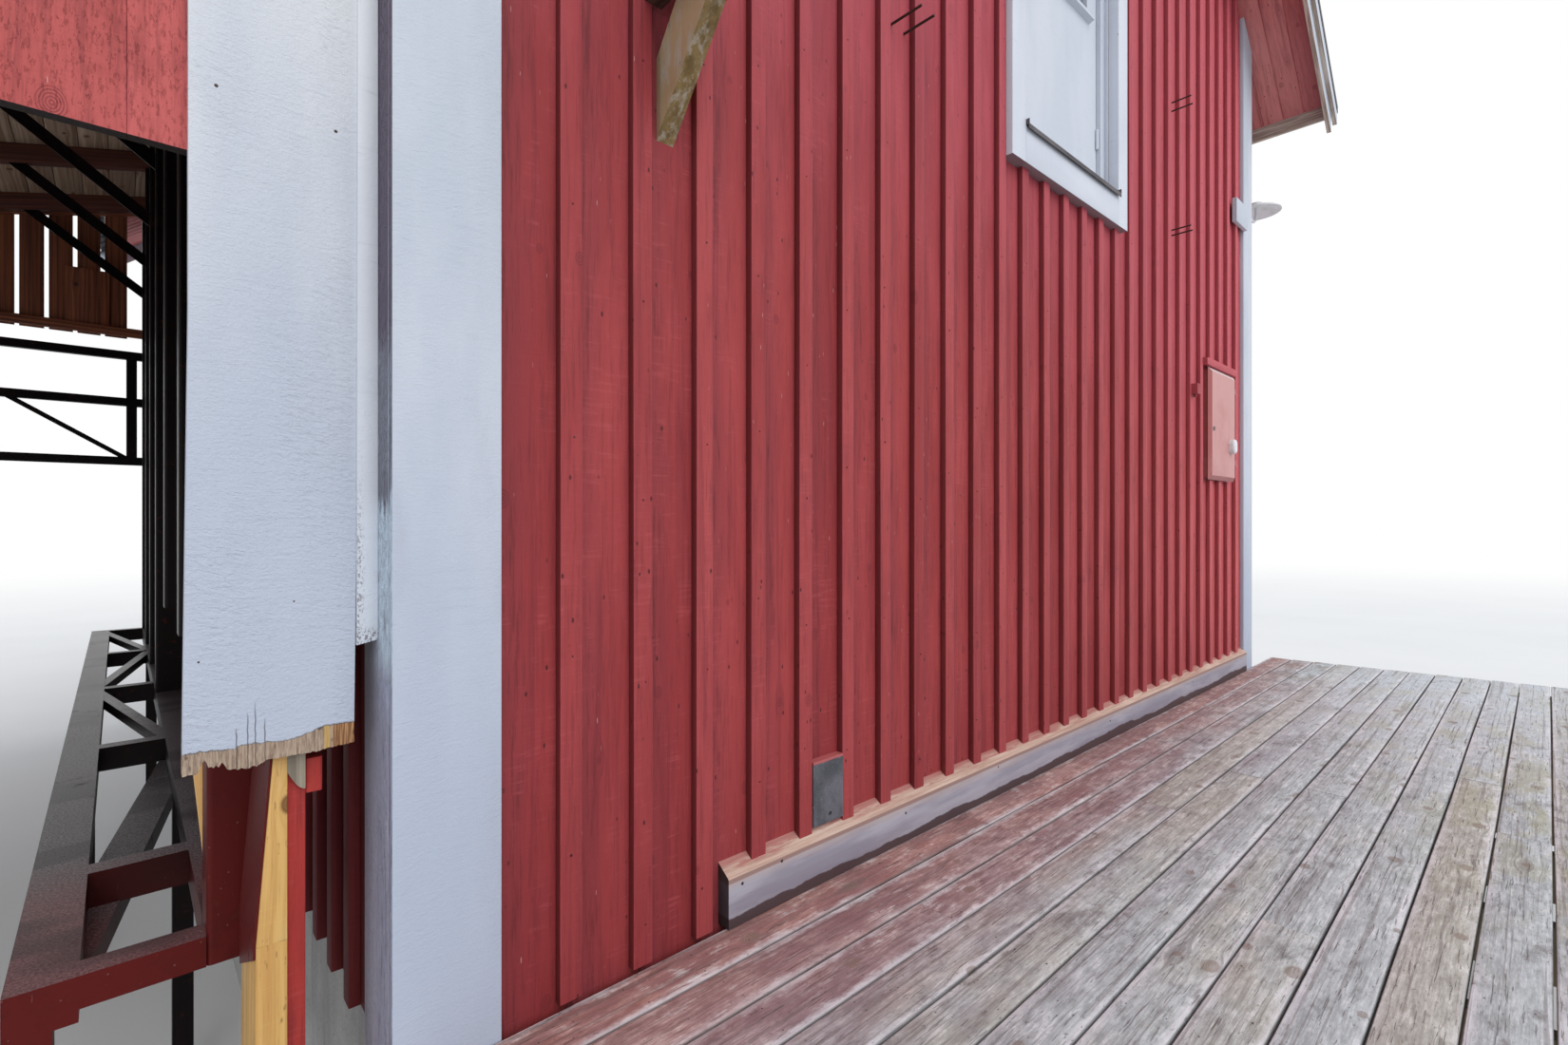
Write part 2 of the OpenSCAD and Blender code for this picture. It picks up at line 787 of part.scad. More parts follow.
// A grey plate that stands on the sill board between two battens
module patch_plate() {
    side = 1.5;
    x = batten_at(4) + batten_w + side;
    w = batten_at(5) - x - side;
    color("slategray") difference() {
        block([x, face_y - 3, deck_z + sill_h], [x + w, front_y, deck_z + sill_h + 178]);
        translate([x + w * 0.56, face_y - 5, deck_z + sill_h + 22]) rotate([-90, 0, 0])
            cylinder(h = batten_t + 6, d = 12, $fn = 24);
    }
}

// A bare white board nailed across the last batten
module mounting_board() {
    z = deck_z + 2886;
    right = half_w - corner_w - 1;
    color("gainsboro") block([right - 236, face_y - 25, z], [right, face_y, z + 150]);
}

// A lamp on a bent arm at the right-hand corner: a wall plate, a quarter bend and a dished shade
module side_lamp() {
    arm = 200;
    bend = 90;
    tube = 20;
    shade = 300;
    color("white") translate([half_w, front_y + 20, deck_z + 3080]) {
        rotate([0, 90, 0]) cylinder(h = 12, d = 80, $fn = 48);
        rotate([0, 90, 0]) cylinder(h = arm, d = tube, $fn = 32);
        translate([arm, 0, bend]) rotate([90, 0, 0]) rotate([0, 0, -90])
            rotate_extrude(angle = 90, $fn = 64) translate([bend, 0]) circle(d = tube, $fn = 32);
        translate([arm + bend, 0, bend]) cylinder(h = 40, d = tube, $fn = 32);
        translate([arm + bend, 0, bend]) rotate_extrude($fn = 96) polygon([
            [0, 28], [shade / 2 - 20, 0], [shade / 2, -6], [shade / 2, 0], [shade / 2 - 18, 12],
            [36, 42], [36, 60], [0, 60]
        ]);
    }
}

// The outline of a hollow square column with rounded corners
module column_outline() {
    difference() {
        offset(r = 9, $fn = 32) square(column_w - 18, center = true);
        offset(r = 2, $fn = 16) square(column_w - 2 * column_t - 4, center = true);
    }
}

// One column of the row at x, from a foot up to the rafters, where it is cut off level
module column(x, i, foot) {
    translate([x, front_col_y + column_w / 2 + i * column_pitch, foot])
        linear_extrude(bay_under(x - column_w / 2) - foot) column_outline();
}

// The first column ends beside the ladder frame's end beam, the wall carries the next ones, and the rest
// stand on the frame
module bay_columns() {
    x = col_in - column_w / 2;
    cut = deck_z + column_cut;
    rail = -clad_x - batten_t;
    color("darkslategray") for (i = [0 : column_n - 1]) {
        if (i == 0 || i >= first_standing) column(x, i, deck_z + ladder_z - (i == 0 ? end_beam_h : 0));
    }
    color("darkslategray") union() {
        for (i = [1 : first_standing - 1]) {
            column(x, i, cut);
            y = front_col_y + i * column_pitch;
            block([col_in - 1, y + 25, cut + 24], [rail, y + column_w - 25, cut + 76]);
        }
        block([rail - 8, front_col_y + column_pitch - 100, cut + 20],
            [rail, front_col_y + (first_standing - 1) * column_pitch + column_w + 100, cut + 80]);
    }
}

module bay_outer_columns() {
    color("darkslategray") for (i = [0 : column_n - 1]) column(col_out + column_w / 2, i, 0);
}

// Flat knee braces from the columns up to the rafters, on both rows
module bay_knee_braces() {
    in_reach = 620;
    out_reach = 420;
    slope = 0.75;
    depth = 60;
    t = 10;
    in_x = col_in - in_reach;
    in_z = bay_under(in_x) - depth;
    out_x = col_out + out_reach;
    out_z = bay_under(out_x) - depth;
    color("darkslategray") for (i = [0 : column_n - 1]) {
        y = front_col_y + column_w / 2 + i * column_pitch - t / 2;
        intersection() {
            bar_xz([col_in - column_w + 30, in_z - slope * (in_reach - column_w) - 22],
                [in_x - 80, in_z + 82], depth, y, t);
            brace_zone(y, t);
        }
        intersection() {
            bar_xz([col_out + column_w - 30, out_z - slope * (out_reach - column_w) - 22],
                [out_x + 80, out_z + 82], depth, y, t);
            brace_zone(y, t);
        }
    }
}

// The space between the two rows of columns, under the rafters
module brace_zone(y, t) {
    along_y(y, t) polygon([
        [col_out + column_w, wall_z], [col_in - column_w, wall_z],
        [col_in - column_w, bay_under(col_in - column_w)], [col_out + column_w, bay_under(col_out + column_w)]
    ]);
}

// Rafters that slope down from the house, one over each pair of columns
module bay_rafters() {
    color("saddlebrown") for (i = [0 : column_n - 1]) {
        along_y(front_col_y + (column_w - rafter_w) / 2 + i * column_pitch, rafter_w) polygon([
            [bay_eave_x + 20, bay_under(bay_eave_x + 20)], [rafter_x, bay_under(rafter_x)],
            [rafter_x, bay_under(rafter_x) + rafter_h],
            [bay_eave_x + 20, bay_under(bay_eave_x + 20) + rafter_h]
        ]);
    }
}

module bay_roof_boards() {
    lift = rafter_h + seat;
    color("tan") along_y(bay_front - bay_verge, bay_l + 2 * bay_verge) polygon([
        [bay_eave_x, bay_under(bay_eave_x) + lift], [bay_house_x, bay_under(bay_house_x) + lift],
        [bay_house_x, bay_under(bay_house_x) + lift + bay_board_t],
        [bay_eave_x, bay_under(bay_eave_x) + lift + bay_board_t]
    ]);
}

module bay_roof_sheet() {
    l = (bay_house_x - bay_eave_x + 35) / cos(bay_pitch) - 6;
    top = bay_under(bay_house_x) + rafter_h + bay_board_t + 2 * seat;
    color("dimgray") mirror([1, 0, 0]) sloped_sheet([-bay_house_x, top],
        bay_pitch, bay_front - bay_verge, bay_l + 2 * bay_verge, l);
}

// Rough-sawn boards above the bay's opening
module bay_front_boards() {
    n = 17;
    x0 = col_out - 10;
    x1 = -half_w - 175;
    gap = 4;
    w = (x1 - x0) / n;
    z = deck_z + lintel_h;
    color("firebrick") for (i = [0 : n - 1]) {
        a = x0 + i * w;
        b = a + w - gap;
        along_y(bay_front + post_board_t, bay_board_t) polygon([
            [a, z], [b, z], [b, bay_under(b) + rafter_h], [a, bay_under(a) + rafter_h]
        ]);
    }
}

// The broad white board over the front post, and the strip that covers its joint with the house
module bay_post_boards() {
    b = -half_w - strip_w;
    a = b - post_board_w;
    s = -half_w - bay_seat;
    color("gainsboro") {
        along_y(bay_front, post_board_t) polygon([
            [a, deck_z + post_board_low], [b, deck_z + post_board_low],
            [b, bay_under(b) + rafter_h], [a, bay_under(a) + rafter_h]
        ]);
        along_y(bay_front + 6, post_board_t - 6) polygon([
            [b + 0.3, deck_z + strip_low], [s, deck_z + strip_low],
            [s, bay_under(bay_house_x) + rafter_h - 10], [b + 0.3, bay_under(b) + rafter_h - 10]
        ]);
    }
}

// The raw stud behind the post board, the plank beside it and its rounded spacer
module bay_front_post() {
    y = bay_front + post_board_t;
    stud = [-half_w - 173, -half_w - 133];
    plank = stud[1] + 28;
    block_z = deck_z + 510;
    color("burlywood") along_y(y, 190) polygon([
        [stud[0] - 12, 0], [stud[1], 0], [stud[1], bay_under(stud[0])], [stud[1] - 20, bay_under(stud[0])],
        [stud[1] - 20, deck_z + 590], [stud[0] - 4, deck_z + 270]
    ]);
    color("burlywood") along_y(front_col_y + column_w, 38) polygon([
        [stud[0] - 2, deck_z + ladder_z], [stud[0] - 47, deck_z + 300], [stud[0] - 74, deck_z + 600],
        [stud[0] - 74, deck_z + 1100], [stud[0] - 2, deck_z + 1100]
    ]);
    color("firebrick") block([stud[1], y + 12, 0], [plank, y + 88, deck_z + post_board_low + 240]);
    color("gray") along_y(y, 12) polygon(concat(
        [[plank - 2, deck_z + 700], [stud[1] - 1, deck_z + 700]],
        [for (k = [0 : 8]) [stud[1] - 1 + 27 * (1 - cos(k * 11.25)), deck_z + 558 - 35 * sin(k * 11.25)]]
    ));
    color("firebrick") translate([plank, y + 14, block_z]) rotate([90, 0, 90]) linear_extrude(26) union() {
        translate([0, 12]) square([50, 48]);
        translate([25, 18]) circle(d = 36, $fn = 32);
    }
}

// Dark upright slats that close the lake end under the roof, nailed to a bottom rail
module bay_slats() {
    y = back_col_y + column_w;
    first = col_in - 180;
    n = floor((first - col_out) / slat_pitch);
    z = deck_z + slat_low;
    color("saddlebrown") block([first - 319, y + 20, z + 68], [first - 93, y + 40, z + 456]);
    color("saddlebrown") for (i = [0 : n]) {
        a = first - slat_w - i * slat_pitch;
        if (a > col_out - 30) along_y(y + 40, 22) polygon([
            [a, z], [a + slat_w, z], [a + slat_w, bay_under(a + slat_w) + rafter_h - 2],
            [a, bay_under(a) + rafter_h - 2]
        ]);
    }
    color("saddlebrown") block([col_out, y, z + 8], [col_in, y + 40, z + 68]);
    color("saddlebrown") along_y(y, 40) polygon([
        [col_out, bay_under(col_out) - 4], [col_in, bay_under(col_in) - 4],
        [col_in, bay_under(col_in) + 66], [col_out, bay_under(col_out) + 66]
    ]);
}

// The lattice girder across the lake end: three chords, end posts and crossing bars, all fused
module bay_girder() {
    y = back_col_y + column_w;
    chords = [1420, 1850, 2190];
    x0 = col_out + 12;
    x1 = col_in - 10;
    post_x = col_in - 185;
    n = round((post_x - x0) / girder_panel);
    step = (post_x + girder_bar / 2 - x0) / n;
    t = 40;
    color("darkslategray") {
        for (c = chords) {
            block([x0, y, deck_z + c - girder_bar / 2], [x1, y + t, deck_z + c + girder_bar / 2]);
        }
        for (x = [x0, post_x]) {
            block([x, y, deck_z + chords[0]], [x + girder_bar, y + t, deck_z + chords[2]]);
        }
        for (i = [0 : n - 1]) {
            down = (n - 1 - i) % 2 == 0;
            a = x0 + i * step;
            bar_xz([a, deck_z + chords[down ? 1 : 0]], [a + step, deck_z + chords[down ? 0 : 1]],
                30, y + 8, t - 16);
        }
    }
}

// The flat ladder frame that the columns stand on: two beams, rungs, diagonals, an end beam and a leg
module bay_ladder_frame() {
    z = deck_z + ladder_z;
    beam_w = 92;
    beam_h = 80;
    rung = 60;
    side = col_in - column_w;
    outer = side - ladder_w;
    y0 = front_col_y;
    y1 = back_col_y + column_w;
    first = y0 + 488;
    n = round((y1 - first - rung) / ladder_pitch);
    step = (y1 - first - rung) / n;
    function rung_y(i) = first + i * step;
    color("brown") {
        block([outer, y0, z - beam_h], [outer + beam_w, y1, z]);
        block([side, y0 + column_w, z - beam_h], [col_in, y1, z]);
        block([outer, y0, z - end_beam_h], [side, y0 + rung, z]);
        for (i = [0 : n]) {
            block([outer, rung_y(i), z - beam_h], [side + 1, rung_y(i) + rung, z]);
        }
        for (i = [0 : n - 2]) {
            flip = i % 2 == 0;
            bar_xy([flip ? side + 10 : outer + 60, rung_y(i + 1) + rung / 2],
                [flip ? outer + 60 : side + 10, rung_y(i + 2) + rung / 2], 40, z - 44, 40);
        }
        bar_xy([outer + 50, y0 + 160], [side + 30, rung_y(1) + rung / 2], 84, z - beam_h - 50, 52);
        for (y = [y0, rung_y(2)]) block([outer, y, 0], [outer + 60, y + rung, z - beam_h + 1]);
        for (y = [rung_y(1), y1 - rung]) block([col_in - 80, y, 0], [col_in - 20, y + rung, z - beam_h + 1]);
    }
}

module deck_boards() {
    color("darkkhaki") for (i = [0 : deck_n - 1]) {
        y = face_y - 6 - i * (deck_board_w + deck_gap);
        block([-half_w, y - deck_board_w, deck_z - deck_t],
            [half_w + deck_right + i * deck_skew, y, deck_z]);
    }
}

// Joists under the boards, a ledger on the plinth and two beams
module deck_frame() {
    x0 = -half_w + 20;
    x1 = half_w + deck_right - 30;
    n = 11;
    top = deck_z - deck_t;
    reach = face_y - 6 - deck_n * (deck_board_w + deck_gap) + deck_gap + 15;
    ledger = front_y + drip_out;
    color("tan") {
        block([x0, ledger - joist_w, top - joist_h], [clad_x - drip_out, ledger, top]);
        for (i = [0 : n - 1]) {
            x = x0 + i * (x1 - x0 - joist_w) / (n - 1);
            block([x, reach, top - joist_h], [x + joist_w, ledger - joist_w, top]);
        }
        for (y = deck_beam_y()) {
            block([x0, y - joist_w, top - 2 * joist_h], [x1, y + joist_w, top - joist_h]);
        }
    }
}

function deck_beam_y() = let (
    w = deck_n * (deck_board_w + deck_gap)
) [face_y - 0.42 * w, face_y - 0.9 * w];

module deck_posts() {
    x0 = -half_w + 60;
    x1 = half_w + deck_right - 60 - deck_post;
    n = 4;
    color("tan") for (y = deck_beam_y(), i = [0 : n - 1]) {
        x = x0 + i * (x1 - x0) / (n - 1);
        block([x, y - deck_post / 2, 0], [x + deck_post, y + deck_post / 2, deck_z - deck_t - 2 * joist_h]);
    }
}

plinth();
front_wall();
back_wall();
left_wall();
right_wall();
gable_battens();
side_battens();
corner_boards();
sill_board();
loft_floor();
roof_deck_left();
roof_deck_right();
roof_sheets();
roof_cappings();
barge_boards();
fascia_boards();
door_casings();
door_frames();
door_leaves();
door_glass();
door_thresholds();
meter_cabinet();
cabinet_door();
cabinet_lock();
cabinet_dome();
cabinet_header();
wall_socket();
wall_bracket();
bracket_planks();
iron_pins();
patch_plate();
mounting_board();
side_lamp();
bay_columns();
bay_outer_columns();
bay_knee_braces();
bay_rafters();
bay_roof_boards();
bay_roof_sheet();
bay_front_boards();
bay_post_boards();
bay_front_post();
bay_slats();
bay_girder();
bay_ladder_frame();
deck_boards();
deck_frame();
deck_posts();
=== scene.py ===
# %% [markdown]
# # A red boathouse
# The solids of this house come from a measured model, in metres. This lesson dresses them: it builds the
# boards one by one, so that each has its own edges and grain, and mixes a paint or a wood for every surface.

# %% Load the frame
import math
import random

import bpy
import numpy as np
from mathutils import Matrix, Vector


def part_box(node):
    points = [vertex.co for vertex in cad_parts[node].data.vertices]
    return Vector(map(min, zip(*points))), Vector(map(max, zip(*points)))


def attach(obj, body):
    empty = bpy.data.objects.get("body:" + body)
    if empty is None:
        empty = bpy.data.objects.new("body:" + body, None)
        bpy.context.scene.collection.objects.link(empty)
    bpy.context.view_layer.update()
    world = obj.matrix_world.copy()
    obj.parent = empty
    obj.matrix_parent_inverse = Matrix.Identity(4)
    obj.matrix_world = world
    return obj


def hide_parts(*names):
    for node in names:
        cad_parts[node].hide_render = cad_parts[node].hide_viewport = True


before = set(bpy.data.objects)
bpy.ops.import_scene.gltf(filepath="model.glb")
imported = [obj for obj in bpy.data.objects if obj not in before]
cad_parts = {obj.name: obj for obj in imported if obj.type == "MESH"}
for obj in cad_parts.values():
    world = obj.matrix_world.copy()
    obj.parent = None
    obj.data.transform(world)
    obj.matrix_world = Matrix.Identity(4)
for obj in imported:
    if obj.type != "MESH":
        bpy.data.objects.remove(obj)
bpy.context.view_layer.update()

# %% [markdown]
# ## Where the house stands
# Every board is placed from a few planes of the house. They are read from the solids where a solid has such a
# plane, so that the boards stay in place when the house is made in another size.

# %% The planes of the house
HALF_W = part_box("corner_boards")[1].x
FACE_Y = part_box("gable_battens")[0].y
MID_Y = sum(corner.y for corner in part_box("roof_deck_left")) / 2
DECK_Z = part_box("deck_boards")[1].z
PITCH = math.radians(38)
EAVE_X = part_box("roof_deck_right")[1].x
SOFFIT_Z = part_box("roof_deck_right")[0].z
RISE = math.tan(PITCH)


def soffit_at(x):
    """Height of the underside of the roof over a distance x from the middle."""
    return SOFFIT_Z + (EAVE_X - abs(x)) * RISE


def middle(low, high):
    """The point halfway between two corners."""
    return [(a + b) / 2 for a, b in zip(low, high)]


def gable_face(low, x=0.0):
    """The way that a board of either gable looks, and the slope that the roof cuts its top to."""
    way = -1 if low[1] < MID_Y else 1
    return (0, way, 0), -way * RISE * (1 if x > 0 else -1)


print("half width", round(HALF_W, 4), "face", round(FACE_Y, 4), "deck", round(DECK_Z, 4),
      "soffit at the corner", round(soffit_at(HALF_W), 4))

# %% [markdown]
# ## Shader sums written as Python
# A material is a graph of nodes, and a graph is hard to read in code. A small class wraps an output socket
# and lends it the signs + - * /, so that a mask is written as a sum. Its mirrored forms let a plain number
# stand first, as in 1 - mask. All other nodes come from one method that takes a type, its settings and its
# sockets.


# %% Sockets that can be added and multiplied
class Socket:
    """An output socket of a material's graph."""

    def __init__(self, paint, out):
        self.paint, self.out = paint, out

    def sum(self, operation, a, b):
        return self.paint.node("Math", {"operation": operation}, {0: a, 1: b})

    def __add__(self, other):
        return self.sum("ADD", self, other)

    def __radd__(self, other):
        return self.sum("ADD", other, self)

    def __sub__(self, other):
        return self.sum("SUBTRACT", self, other)

    def __rsub__(self, other):
        return self.sum("SUBTRACT", other, self)

    def __mul__(self, other):
        return self.sum("MULTIPLY", self, other)

    def __rmul__(self, other):
        return self.sum("MULTIPLY", other, self)

    def __truediv__(self, other):
        return self.sum("DIVIDE", self, other)


def rgb(red, green, blue):
    """A colour as it is seen, 0 to 255, turned to the linear values that nodes take."""
    seen = [v / 255 for v in (red, green, blue)]
    return [v / 12.92 if v <= 0.04045 else ((v + 0.055) / 1.055) ** 2.4 for v in seen] + [1.0]


def shaded(colour, share=0.5):
    """A darker form of a colour, in the values that nodes take."""
    return [v * share for v in rgb(*colour)[:3]] + [1.0]


# %% One method for every node
class Paint:
    """A material that is built node by node."""

    def __init__(self, name):
        self.material = bpy.data.materials.new(name)
        self.material.use_nodes = True
        self.tree = self.material.node_tree
        self.shader = next(n for n in self.tree.nodes if n.type == "BSDF_PRINCIPLED")

    def node(self, kind, settings=None, sockets=None, out=0):
        made = self.tree.nodes.new("ShaderNode" + kind)
        for key, value in (settings or {}).items():
            setattr(made, key, value)
        for key, value in (sockets or {}).items():
            self.join(made.inputs[key], value)
        return Socket(self, made.outputs[out])

    def join(self, target, value):
        if isinstance(value, Socket):
            self.tree.links.new(value.out, target)
        else:
            target.default_value = value

    def one(self, operation, value):
        """A Math node on one number, such as its sine or its whole part."""
        return self.node("Math", {"operation": operation}, {0: value})

    def noise(self, vector, scale=1.0, detail=3.0, rough=0.55, twist=0.0):
        sockets = {"Vector": vector, "Scale": scale, "Detail": detail}
        sockets.update({"Roughness": rough, "Distortion": twist})
        return self.node("TexNoise", None, sockets)

    def cells(self, vector, scale=1.0):
        """How far a point is from the nearest of many scattered centres."""
        sockets = {"Vector": vector, "Scale": scale, "Randomness": 1.0}
        return self.node("TexVoronoi", None, sockets, "Distance")

    def step(self, value, low, high):
        """0 below low, 1 above high, and smooth between them; it falls when low is above high."""
        sockets = {"Value": value, "From Min": low, "From Max": high}
        return self.node("MapRange", {"interpolation_type": "SMOOTHSTEP"}, sockets)

    def streaks(self, v, along, across, low, high, detail=4.0, rough=0.62):
        """A mask of streaks that run along the grain, or across it when across is the smaller number."""
        drawn = self.stretch(v, (along, across, across))
        return self.step(self.noise(drawn, detail=detail, rough=rough), low, high)

    def mix(self, a, b, mask):
        return self.node("Mix", {"data_type": "RGBA"}, {0: mask, 6: a, 7: b}, out=2)

    def stretch(self, vector, by):
        return self.node("VectorMath", {"operation": "MULTIPLY"}, {0: vector, 1: by})

    def split(self, vector):
        made = self.node("SeparateXYZ", None, {0: vector})
        return [Socket(self, o) for o in made.out.node.outputs]

    def place(self):
        """Where a point is on the house at rest."""
        return self.node("TexCoord", None, None, "Object")

    def facing(self):
        """The way that the surface looks, as x, y and z."""
        return self.split(self.node("NewGeometry", None, None, "Normal"))

    def grain(self):
        """Where a point is in its own board: along, across and through it."""
        return self.node("Attribute", {"attribute_name": "grain"}, None, "Vector")

    def tone(self):
        """A number from 0 to 1 that differs from board to board."""
        return self.node("Attribute", {"attribute_name": "tone"}, None, "Fac")

    def rim(self):
        """0 in the middle of a board's width and 1 at its edges."""
        return self.one("ABSOLUTE", self.node("Attribute", {"attribute_name": "rim"}, None, "Fac"))

    def finish(self, colour, rough=0.6, height=None, strength=0.5, depth=0.001, **fixed):
        self.join(self.shader.inputs["Base Color"], colour)
        self.join(self.shader.inputs["Roughness"], rough)
        if height is not None:
            bump = {"Height": height, "Strength": strength, "Distance": depth}
            self.join(self.shader.inputs["Normal"], self.node("Bump", None, bump, "Normal"))
        for key, value in fixed.items():
            self.join(self.shader.inputs[key.replace("_", " ")], value)
        print("paint", self.material.name, "nodes", len(self.tree.nodes))
        return self.material


# %% [markdown]
# ## Boards
# A sawn board isn't a box: its long edges are eased, it is a little bowed, and its grain runs along it. Each
# board is swept along its length with a rounded section. Three values are kept at every point for the
# materials: where it lies in its own board, a number that gives each board its own tone, and how near the
# point is to the board's edge. Many boards are kept in one mesh, which Blender handles better than hundreds
# of objects.


# %% A pile of boards in one mesh
def rounded_section(width, thick, radius, steps):
    """The outline of a section with eased corners, as pairs of across and through."""
    outline = []
    quarter = ((1, 1, 0), (-1, 1, 90), (-1, -1, 180), (1, -1, 270))
    for sx, sy, first in quarter:
        cx, cy = sx * (width / 2 - radius), sy * (thick / 2 - radius)
        for k in range(steps + 1):
            angle = math.radians(first + 90 * k / steps)
            outline.append((cx + radius * math.cos(angle), cy + radius * math.sin(angle)))
    return outline


class Pile:
    """Boards that share one mesh, each with its own grain and tone."""

    def __init__(self, seed):
        self.points, self.faces, self.grain, self.tone, self.rim = [], [], [], [], []
        self.random = random.Random(seed)

    def point(self, where, grain, tone, rim=0.0):
        self.points.append(tuple(where))
        self.grain.append(grain)
        self.tone.append(tone)
        self.rim.append(rim)

    def board(self, start, end, width, thick, face, radius=0.0015, every=0.4, bow=0.0008,
              slant=(0, 0), lean=(0, 0), taper=1.0, steps=2, section=None):
        """A board from start to end. face is the way its broad side looks.

        slant cuts its two ends to a slope across it and lean to a slope through it; taper narrows its end.
        """
        start, end, face = Vector(start), Vector(end), Vector(face).normalized()
        length = (end - start).length
        along = (end - start).normalized()
        across = face.cross(along)
        outline = section or rounded_section(width, thick, radius, steps)
        half = max(abs(u) for u, v in outline)
        n = max(1, round(length / every))
        offset = [self.random.uniform(0, 40) for _ in range(3)]
        uniform = self.random.uniform
        waves = [(uniform(-1, 1) * bow, uniform(0.6, 1.7), uniform(0, 6)) for _ in range(2)]
        tone = self.random.random()
        first = len(self.points)
        for k in range(n + 1):
            share = k / n
            s = share * length
            sway = [w * math.sin(f * s * 2 + p) for w, f, p in waves]
            for u, v in outline:
                narrow = u * (1 + (taper - 1) * share)
                shift = (slant[0] * (1 - share) + slant[1] * share) * narrow
                shift += (lean[0] * (1 - share) + lean[1] * share) * v
                where = start + along * (s + shift) + across * (narrow + sway[0]) + face * (v + sway[1])
                grain = (s + shift + offset[0], narrow + offset[1], v + offset[2])
                self.point(where, grain, tone, u / half)
        m = len(outline)
        for k in range(n):
            a, b = first + k * m, first + (k + 1) * m
            for i in range(m):
                j = (i + 1) % m
                self.faces.append((a + i, a + j, b + j, b + i))
        self.faces.append(tuple(first + i for i in reversed(range(m))))
        self.faces.append(tuple(first + n * m + i for i in range(m)))
        return tone

    def nail(self, point, face, radius, proud=0.0008):
        """The low dome of a nail's head."""
        sides = 8
        point, face = Vector(point), Vector(face).normalized()
        side = face.orthogonal().normalized()
        other = face.cross(side)
        first = len(self.points)
        tone = self.random.random()
        for scale, height in ((1.0, -0.0005), (0.8, proud)):
            for i in range(sides):
                a = 2 * math.pi * i / sides
                around = side * math.cos(a) + other * math.sin(a)
                where = point + around * radius * scale + face * height
                self.point(where, tuple(where), tone)
        for i in range(sides):
            j = (i + 1) % sides
            self.faces.append((first + i, first + j, first + sides + j, first + sides + i))
        self.faces.append(tuple(first + sides + i for i in range(sides)))

    def cutout(self, corners, y0, y1):
        """A flat upright piece; its corners go round it anticlockwise as seen from the front."""
        first, n, tone = len(self.points), len(corners), self.random.random()
        for y in (y0, y1):
            for x, z in corners:
                self.point((x, y, z), (z, x, y), tone)
        self.faces.append(tuple(first + i for i in range(n)))
        self.faces.append(tuple(first + n + i for i in reversed(range(n))))
        for i in range(n):
            j = (i + 1) % n
            self.faces.append((first + j, first + i, first + n + i, first + n + j))

    def build(self, name, material, slot, body="house", stands_for=()):
        mesh = bpy.data.meshes.new(name)
        mesh.from_pydata(self.points, [], self.faces)
        grain = mesh.attributes.new("grain", "FLOAT_VECTOR", "POINT")
        grain.data.foreach_set("vector", np.array(self.grain, np.float32).ravel())
        for label, values in (("tone", self.tone), ("rim", self.rim)):
            kept = mesh.attributes.new(label, "FLOAT", "POINT")
            kept.data.foreach_set("value", np.array(values, np.float32))
        mesh.materials.append(material)
        mesh.polygons.foreach_set("use_smooth", [True] * len(mesh.polygons))
        mesh.set_sharp_from_angle(angle=math.radians(50))
        piece = bpy.data.objects.new(name, mesh)
        bpy.context.scene.collection.objects.link(piece)
        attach(piece, body)
        if stands_for:
            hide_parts(*stands_for)
        print("piece", name, "faces", len(mesh.polygons))
        return piece


def dress(material, *nodes):
    """Gives CAD solids whose shape is right their finish."""
    for node in nodes:
        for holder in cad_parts[node].material_slots:
            holder.material = material


# %% [markdown]
# ## Grain that parts round knots
# In a sawn board the grain runs along, and it parts round each knot like water round a stone. The same sum
# that gives the flow of water round a cylinder is used here: the place across the board is pushed aside by
# r0 squared over r squared, and noise is then read along the pushed lines. The knots themselves are the cells
# of a Voronoi texture, each with a size of its own, and rings are drawn round their centres.


# %% Grain that parts round knots
def knotty_grain(p, v, lines, share, knots=(1.9, 7.0), size=0.085):
    """Grain lines, the rings inside knots, and how far a point is into a knot, all 0 to 1."""
    along, across, through = p.split(v)
    flat = p.node("CombineXYZ", None, {0: along * knots[0], 1: (across + through) * knots[1]})
    settings = {"voronoi_dimensions": "2D"}
    sockets = {"Vector": flat, "Scale": 1.0, "Randomness": 0.65}
    centre = p.node("TexVoronoi", settings, sockets, "Position")
    chance, reach, _ = p.split(p.node("TexVoronoi", settings, sockets, "Color"))
    dx, dy, _ = p.split(p.node("VectorMath", {"operation": "SUBTRACT"}, {0: flat, 1: centre}))
    present = p.step(chance, share + 0.01, share - 0.01)
    wide = p.one("SQRT", dx * dx * 2.2 + dy * dy + 0.00001)
    near = p.one("SQRT", dx * dx * 7.0 + dy * dy + 0.00001)
    push = p.node("Math", {"operation": "MAXIMUM"}, {0: wide * wide, 1: size * size * 1.4})
    flow = dy * (size * size * 1.3) / push * p.step(wide, 0.42, 0.1) * present
    parted = ((across + through) * knots[1] - flow) * lines
    lined = p.node("CombineXYZ", None, {0: along * 0.9, 1: parted})
    grain = p.noise(lined, detail=5, rough=0.62, twist=0.25)
    near = near / (reach * 0.8 + 0.4) + (grain - 0.5) * size * 1.3
    knot = p.step(near, size * 1.15, size * 0.75) * present
    rings = p.one("SINE", near * 190 + grain * 4) * 0.5 + 0.5
    return grain, rings, knot
